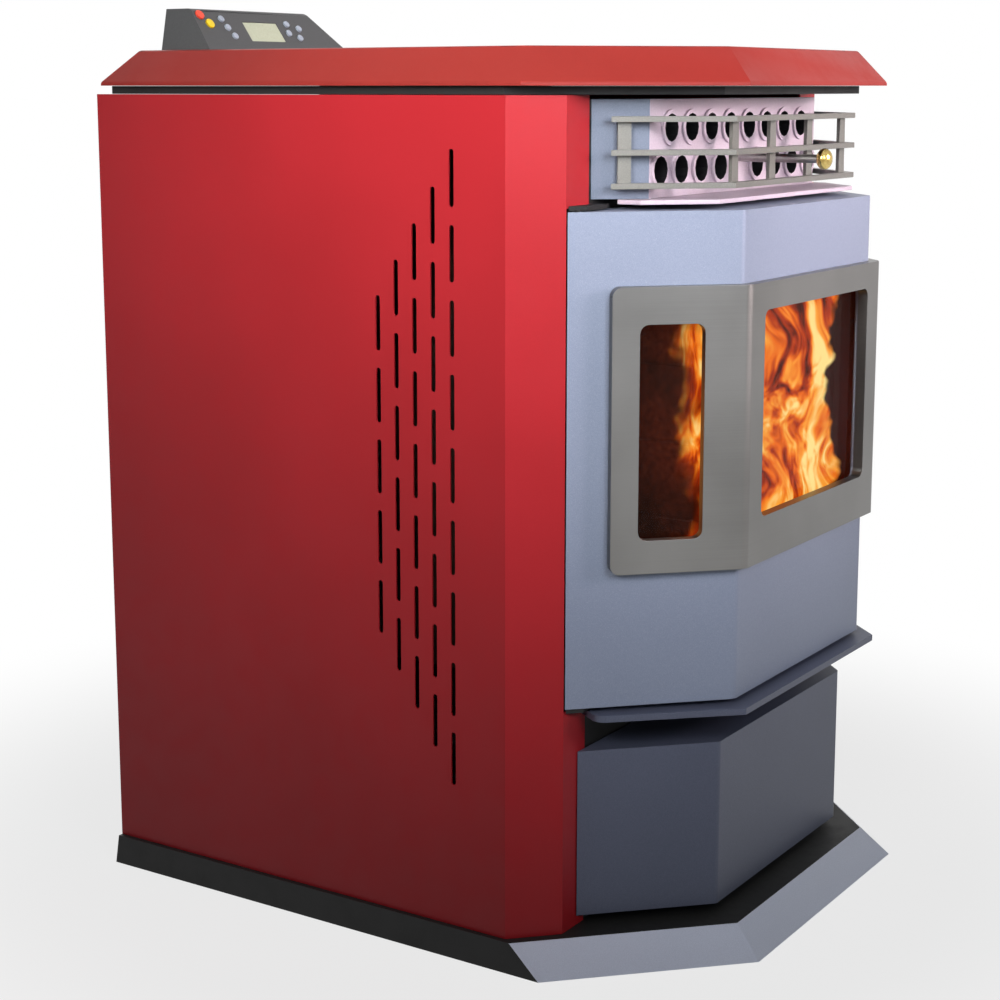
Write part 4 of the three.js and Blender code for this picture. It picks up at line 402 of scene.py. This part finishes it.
def eased(node, material, body="stove", edge=0.5 * MM, fold=0.0, sharp=50, extra=None):
    """Stands for a CAD node: the same solid with folded corners rounded and its rims eased."""
    shape = solid_copy(node)
    if fold:
        ease(shape, fold, *FOLD_ANGLES, shortest=FOLD_SHORTEST, segments=4)
    ease(shape, edge, sharp, shortest=edge * 2.2)
    if extra:
        extra(shape)
    made = piece(f"{node}_finished", shape, material, body)
    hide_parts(node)
    return made


def dress(material, *names):
    """Gives CAD nodes that keep their own mesh a finish."""
    for name in names:
        nodes[name].data.materials.clear()
        nodes[name].data.materials.append(material)


def round_head(shape, centre, normal, radius, height, sides=14):
    """Adds a domed screw head with a recess, standing on a surface."""
    profile = [(radius, 0), (radius, height * 0.35), (radius * 0.8, height * 0.85), (radius * 0.45, height),
               (radius * 0.4, height * 0.45)]
    turn = Vector((0, 0, 1)).rotation_difference(Vector(normal)).to_matrix().to_4x4()
    place = Matrix.Translation(centre) @ turn
    points = [shape.verts.new(place @ Vector((r, 0, h))) for r, h in profile]
    edges = [shape.edges.new(pair) for pair in zip(points, points[1:])]
    bmesh.ops.spin(shape, geom=points + edges, cent=place @ Vector((0, 0, 0)),
                   axis=(turn @ Vector((0, 0, 1))), angle=math.tau, steps=sides, use_merge=True,
                   dvec=(0, 0, 0), use_duplicate=False)


def screws(name, spots, normal, body, radius=3.6 * MM, height=2.0 * MM):
    """One piece with a screw head at every spot, given in millimetres."""
    shape = bmesh.new()
    for spot in spots:
        round_head(shape, Vector(spot) * MM, normal, radius, height)
    bmesh.ops.remove_doubles(shape, verts=shape.verts, dist=1e-6)
    rims = [edge for edge in shape.edges if edge.is_boundary]
    bmesh.ops.holes_fill(shape, edges=rims, sides=40)
    bmesh.ops.recalc_face_normals(shape, faces=shape.faces)
    return piece(name, shape, PLAIN_STEEL, body)


# ------------------------------------------------------------------ casing
BACK_FACE = 300.7              # outer face of the back panel, in millimetres
COLLAR_FACE = 304              # outer face of the pipe collars
COLLARS = ((-181, 205, 44), (-56, 266, 23.5))      # each one's X and Z, and its screws' circle
TUBE_PITCH = 38.7
TUBE_INNER = 12.5
TUBE_WALL = 0.8
TUBE_ROWS = ((750, (-3.5, -2.5, -1.5, -0.5, 0.5, 1.5, 2.5, 3.5)), (713, (-4, -3, -2, -1, 1, 2, 3, 4)))
TUBE_SPOTS = [(step * TUBE_PITCH, level) for level, steps in TUBE_ROWS for step in steps]


def paint_base(shape):
    """The bay of the pedestal is slate, painted lighter for the light it gets from the floor and from above,
    its sides and back black.
    """
    for face in shape.faces:
        face.material_index = 1 if face.normal.y < -0.3 and face.calc_center_median().y < -0.15 else 0


def paint_header(shape):
    """The tube sheet and the tubes' rims are silver, their bores near black as painted shade, and the facets
    slate painted darker as painted shade under the lid.
    """
    for face in shape.faces:
        middle = face.calc_center_median()
        x, z = middle.x / MM, middle.z / MM
        near_tube = min(math.hypot(x - tube_x, z - tube_z) for tube_x, tube_z in TUBE_SPOTS)
        on_front = middle.y < -0.2395 and abs(middle.x) < 0.171
        # The tubes' inner walls: painted shade, near black.
        if abs(face.normal.y) < 0.5 and near_tube < TUBE_INNER + TUBE_WALL:
            face.material_index = 2
        elif on_front or middle.y > -0.2 or abs(face.normal.z) < 0.2 and \
                middle.y > -0.24 and abs(abs(middle.x) + abs(middle.y) - 0.4125) > 0.003:
            face.material_index = 1
        else:
            face.material_index = 0


def build_casing():
    eased("base_pedestal", [BLACK, LIT_BASE_SLATE], fold=1.2 * MM, edge=0.8 * MM, extra=paint_base)
    eased("side_panel_left", BURGUNDY, fold=3 * MM, edge=0.35 * MM, sharp=62)
    eased("side_panel_right", BURGUNDY, fold=3 * MM, edge=0.35 * MM, sharp=62)
    eased("top_plate", RED, fold=1.6 * MM, edge=0.5 * MM)
    eased("spacer_frame", BLACK, edge=0.5 * MM)
    eased("hopper_lid", RED, "lid", edge=0.7 * MM)
    dress(BLACK, "back_panel", "front_frame")
    dress(RUBBER, "hopper_lid_seal", *(name for name in nodes if name.startswith("levelling_foot")))
    eased("power_inlet", RUBBER, edge=0.4 * MM)
    rim = [(x, BACK_FACE, z) for x in (-262, 262) for z in (45, 225, 405, 585, 762)]
    rim += [(x, BACK_FACE, z) for x in (-130, 0, 130) for z in (42, 764)]
    screws("back_panel_screws", rim, (0, 1, 0), "stove")
    spots = []
    for x, z, reach in COLLARS:
        for turn in range(4):
            angle = math.tau * (turn + 0.5) / 4
            spots.append((x + reach * math.cos(angle), COLLAR_FACE, z + reach * math.sin(angle)))
    screws("collar_screws", spots, (0, 1, 0), "stove", 2.6 * MM, 1.6 * MM)


# ------------------------------------------------------------------ console
def build_console():
    eased("console_housing", SHELL, edge=0.25 * MM, fold=3.2 * MM)
    dress(SCREEN, "console_screen")
    for name in nodes:
        if name.endswith("button") or "_key_" in name:
            look = {"start_button": START, "stop_button": STOP}.get(name, KEY_GREY)
            eased(name, look, f"{name}_body", edge=0.6 * MM, sharp=60)


# ------------------------------------------------------------------ fire side
def build_fire_side():
    dress(IRON, "firebox_shell", "burn_pot")
    for name in ("fire_bricks_back", "fire_bricks_left", "fire_bricks_right"):
        eased(name, BRICK, edge=1.0 * MM, sharp=70)
    dress(PLAIN_STEEL, "igniter")
    eased("heat_exchanger", [SHADED_HEADER_SLATE, SILVER, SHADED_BORE], edge=0.4 * MM, sharp=60, extra=paint_header)
    eased("louvre_grille", GRILLE, edge=0.7 * MM, sharp=60)
    eased("sill_plate", SILVER, edge=0.6 * MM)
    eased("ash_lip", SHADED_DARK_SLATE, edge=1.2 * MM, sharp=60)
    # The drawer front's darker slate is painted shade from the ash lip above it.
    eased("ash_drawer_front", SHADED_DARK_SLATE, "ash_drawer", fold=2.4 * MM, edge=0.6 * MM)
    dress(ZINC, "ash_pan")


KNOB_RADIUS = 9.9 * MM
KNOB_SQUASH = 0.72             # its depth as a share of its width
KNOB_REAR = 6.2 * MM           # from its middle to the flat where the rod goes in
KNOB_PLACE = (0, -329.3, 720)


def build_scraper():
    eased("scraper", PLAIN_STEEL, "tube_scraper", edge=0.3 * MM, sharp=60)
    shape = bmesh.new()
    bmesh.ops.create_uvsphere(shape, u_segments=32, v_segments=20, radius=KNOB_RADIUS)
    bmesh.ops.rotate(shape, cent=(0, 0, 0), matrix=Matrix.Rotation(math.pi / 2, 3, "X"), verts=shape.verts)
    bmesh.ops.scale(shape, vec=(1, KNOB_SQUASH, 1), verts=shape.verts)
    for vert in shape.verts:
        vert.co.y = min(vert.co.y, KNOB_REAR)
    bmesh.ops.translate(shape, vec=Vector(KNOB_PLACE) * MM, verts=shape.verts)
    knob = piece("scraper_knob_ball", shape, BRASS, "tube_scraper", 60)
    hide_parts("scraper_knob")


# ------------------------------------------------------------------ door
def build_door():
    eased("door_frame", SLATE, "door", fold=3.0 * MM, edge=0.6 * MM)
    eased("window_trim", STEEL, "door", fold=5.0 * MM, edge=1.4 * MM, sharp=60)
    dress(GLASS, "door_pane_left", "door_pane_front")
    dress(RED_BROWN_PANE_GLASS, "door_pane_right")
    dress(ROPE, "door_gasket")
    eased("latch_handle", PLAIN_STEEL, "latch", edge=0.4 * MM, sharp=60)


# ------------------------------------------------------------------ fuel and machinery
FILTER_DEPTH = (297.8, 299.2)  # from the inner face of the back panel forwards
FILTERS = {"air_filter_right": ((96, 214), (48, 165)), "air_filter_middle": ((-44, 44), (56, 134))}


def filter_pad(name, x_span, z_span):
    """A thin dark pad behind the vents of the back panel."""
    spans = (x_span, FILTER_DEPTH, z_span)
    middle = [(low + high) / 2 for low, high in spans]
    size = [high - low for low, high in spans]
    shape = bmesh.new()
    bmesh.ops.create_cube(shape, size=1.0)
    for vert in shape.verts:
        vert.co = Vector([middle[i] + vert.co[i] * size[i] for i in range(3)]) * MM
    piece(name, shape, RUBBER, "stove", weighted=False)


def build_machinery():
    dress(ZINC, "hopper", "exhaust_duct", "exhaust_pipe", "combustion_air_pipe", "room_blower_housing",
          "room_air_duct", "room_blower_wheel")
    dress(IRON_PLAIN, "auger_tube", "exhaust_blower_housing")
    dress(PLAIN_STEEL, "auger_motor", "auger_screw", "exhaust_blower_motor", "room_blower_motor",
          "exhaust_impeller")
    for name, (x_span, z_span) in FILTERS.items():
        filter_pad(name, x_span, z_span)


def pellet_heap(name, count, x_span, y_span, level, crown, material, length, radius, seed):
    """Short rods lying at random over a shallow mound."""
    dice = random.Random(seed)
    shape = bmesh.new()
    middle = Vector(((x_span[0] + x_span[1]) / 2, (y_span[0] + y_span[1]) / 2, 0))
    half = Vector(((x_span[1] - x_span[0]) / 2, (y_span[1] - y_span[0]) / 2, 0))

    def mound(x, y):
        away = max(abs(x - middle.x) / half.x, abs(y - middle.y) / half.y)
        return level + crown * (1 - away * away) + 1.5 * math.sin(x * 0.31) * math.cos(y * 0.23)

    bmesh.ops.create_grid(shape, x_segments=24, y_segments=16, size=0.5)
    for vert in shape.verts:
        x = middle.x + vert.co.x * 2 * half.x
        y = middle.y + vert.co.y * 2 * half.y
        vert.co = Vector((x, y, mound(x, y))) * MM
    bmesh.ops.solidify(shape, geom=list(shape.faces), thickness=2 * MM)
    for _ in range(count):
        x = dice.uniform(x_span[0] + length / 2, x_span[1] - length / 2)
        y = dice.uniform(y_span[0] + length / 2, y_span[1] - length / 2)
        spin = Matrix.Rotation(dice.uniform(0, math.tau), 4, "Z") @ \
            Matrix.Rotation(math.pi / 2 + dice.uniform(-0.35, 0.35), 4, "Y")
        place = Matrix.Translation(Vector((x, y, mound(x, y) + dice.uniform(0.3, 1.6) * radius)) * MM) @ spin
        bmesh.ops.create_cone(shape, cap_ends=True, segments=7, radius1=radius * MM, radius2=radius * MM,
                              depth=length * dice.uniform(0.6, 1.0) * MM, matrix=place)
    return piece(name, shape, material, "stove", 40, weighted=False)


FLAME_SWAY = 5                 # in millimetres
BAY_PATH = [(0.000, -0.130), (0.050, -0.235), (0.085, -0.283), (0.118, -0.306), (0.1355, -0.306),
            (0.1815, -0.260)]
BAY_ENDS = (0.019, 0.100)      # the fire in the bay is seen between these, along X


def flame_sheet(name, path, foot, top, material):
    """A curtain of flame over a path, swaying a little on its way up and less towards its end."""
    shape = bmesh.new()
    bmesh.ops.create_grid(shape, x_segments=40, y_segments=30, size=0.5)
    for vert in shape.verts:
        share = vert.co.x + 0.5
        rise = vert.co.y + 0.5
        x, y = path(share)
        sway = FLAME_SWAY * math.sin(7 * share + 5 * rise) * min(1, 4 * (1 - share))
        vert.co = Vector((x, y + sway * rise, foot + (top - foot) * rise)) * MM
    return piece(name, shape, material, "stove", weighted=False)


def bay_path(share):
    """From beside the pot, forwards into the bay and back along its right pane."""
    legs = [(Vector(b) - Vector(a)).length for a, b in zip(BAY_PATH, BAY_PATH[1:])]
    way = share * sum(legs)
    for start, end, leg in zip(BAY_PATH, BAY_PATH[1:], legs):
        if way <= leg + 1e-9:
            point = Vector(start).lerp(Vector(end), min(way / leg, 1))
            return point.x / MM, point.y / MM
        way -= leg
    return BAY_PATH[-1][0] / MM, BAY_PATH[-1][1] / MM


def build_fire():
    front = flame("flame of the front", (0, 0, 0), 0.318, 0.680, 0.22, BAY_ENDS)
    rear = flame("flame of the rear", (0.7, 0.3, 0.2), 0.318, 0.600)
    pot = flame("flame of the pot", (0.2, 0.9, 0.5), 0.288, 0.460)
    flame_sheet("flames_front", bay_path, 318, 660, front)
    flame_sheet("flames_rear", lambda share: (-110 + 220 * share, -46), 318, 600, rear)
    flame_sheet("flames_pot_across", lambda share: (-40 + 80 * share, -63), 300, 460, pot)
    flame_sheet("flames_pot_along", lambda share: (0.5 * (share - 0.5), -88 + 50 * share), 300, 460, pot)
    pellet_heap("ember_bed", 90, (-36, 36), (-84, -42), 282, 8, EMBER, 9, 2.6, 5)
    pellet_heap("hopper_pellets", 620, (-13, 223), (108, 243), 728, 18, WOOD, 15, 3.0, 11)


# ------------------------------------------------------------------ studio
SEEN_BY = ("Is Camera Ray", "Is Glossy Ray", "Is Transmission Ray")
WHITE = (1, 1, 1, 1)


def backdrop():
    """A world that is white where it is seen and lights the object faintly."""
    world = bpy.data.worlds.new("studio")
    bpy.context.scene.world = world
    world.use_nodes = True
    tree = world.node_tree
    lit = tree.nodes["Background"]
    lit.inputs["Color"].default_value = (0.90, 0.95, 1.0, 1)
    lit.inputs["Strength"].default_value = 0.07
    seen = tree.nodes.new("ShaderNodeBackground")
    seen.inputs["Color"].default_value = WHITE
    path = tree.nodes.new("ShaderNodeLightPath")
    either = path.outputs[SEEN_BY[0]]
    for kind in SEEN_BY[1:]:
        wider = tree.nodes.new("ShaderNodeMath")
        wider.operation = "MAXIMUM"
        tree.links.new(either, wider.inputs[0])
        tree.links.new(path.outputs[kind], wider.inputs[1])
        either = wider.outputs[0]
    mixed = tree.nodes.new("ShaderNodeMixShader")
    tree.links.new(either, mixed.inputs[0])
    tree.links.new(lit.outputs[0], mixed.inputs[1])
    tree.links.new(seen.outputs[0], mixed.inputs[2])
    tree.links.new(mixed.outputs[0], tree.nodes["World Output"].inputs[0])


FLOOR_REACH = 7
FLOOR_DROP = 0.0005


def floor():
    """A floor that is white where it is seen, and keeps the object's shadow."""
    shape = bmesh.new()
    bmesh.ops.create_grid(shape, x_segments=1, y_segments=1, size=FLOOR_REACH)
    bmesh.ops.translate(shape, vec=(0, 0, -FLOOR_DROP), verts=shape.verts)
    mesh = bpy.data.meshes.new("studio_floor")
    shape.to_mesh(mesh)
    shape.free()
    ground = bpy.data.objects.new("studio_floor", mesh)
    bpy.context.scene.collection.objects.link(ground)
    pale = Finish("studio floor", base_color=(0.4, 0.4, 0.4, 1), roughness=0.9)
    pale.set("Specular IOR Level", 0.1)
    glow = pale.node("ShaderNodeEmission", {}, {"Color": WHITE, "Strength": 1.0})
    seen = pale.node("ShaderNodeLightPath", {}, {}, SEEN_BY[0])
    for kind in SEEN_BY[1:]:
        seen = seen.maths("MAXIMUM", seen, pale.node("ShaderNodeLightPath", {}, {}, kind))
    away = pale.node("ShaderNodeVectorMath", {"operation": "LENGTH"}, {0: pale.place}, "Value")
    seen_share = seen * (away.between(0.42, 1.0) * 0.22 + 0.78)
    blend = pale.tree.nodes.new("ShaderNodeMixShader")
    pale.tree.links.new(seen_share.socket, blend.inputs[0])
    pale.tree.links.new(pale.surface.outputs[0], blend.inputs[1])
    pale.tree.links.new(glow.socket, blend.inputs[2])
    pale.tree.links.new(blend.outputs[0], pale.tree.nodes["Material Output"].inputs[0])
    mesh.materials.append(pale.material)


def lamp(name, place, target, side, power, tint=(1, 1, 1), spread=180):
    """A square area lamp that points at target."""
    data = bpy.data.lights.new(name, "AREA")
    data.spread = math.radians(spread)
    data.shape = "RECTANGLE"
    data.size, data.size_y = side, side
    data.energy = power
    data.color = tint
    made = bpy.data.objects.new(name, data)
    made.location = place
    made.rotation_euler = (Vector(target) - Vector(place)).to_track_quat("-Z", "Y").to_euler()
    bpy.context.scene.collection.objects.link(made)


SENSOR = 36                    # in millimetres
PHOTO_WIDTH = 1000             # in pixels
FOCAL = 1980.35                # in pixels, as the frame is fitted
CAMERA_PLACE = (-1.70235, -1.08278, 0.78569)
CAMERA_DOWN = 0.17172          # how far it looks down, and round, in radians
CAMERA_ROUND = -0.9931


def camera():
    data = bpy.data.cameras.new("camera")
    data.sensor_width = SENSOR
    data.lens = FOCAL * SENSOR / PHOTO_WIDTH
    data.shift_y = -0.07
    data.clip_end = 50
    made = bpy.data.objects.new("camera", data)
    made.location = CAMERA_PLACE
    made.rotation_euler = (math.pi / 2 - CAMERA_DOWN, 0, CAMERA_ROUND)
    bpy.context.scene.collection.objects.link(made)
    bpy.context.scene.camera = made


camera()
build_casing()
build_console()
build_fire_side()
build_scraper()
build_door()
build_machinery()
build_fire()
backdrop()
floor()
lamp("cool", (-0.95, -1.4, 1.2), (-0.25, -0.3, 0.82), 0.7, 2.3, (0.88, 0.93, 1.0), 58)
lamp("left", (-1.5, -0.35, 1.3), (-0.29, -0.12, 0.92), 0.7, 3.4, (1.0, 0.97, 0.95), 48)
lamp("front", (0.4, -1.5, 1.0), (0.05, -0.3, 0.72), 0.5, 1.7, (1.0, 0.84, 0.86), 34)
lamp("overhead", (-0.4, 0.2, 2.6), (0, 0, 0.8), 2.0, 2)
lamp("back", (1.0, 2.6, 1.6), (0, 0.2, 0.4), 1.8, 16)

bpy.context.scene.view_settings.view_transform = "Standard"
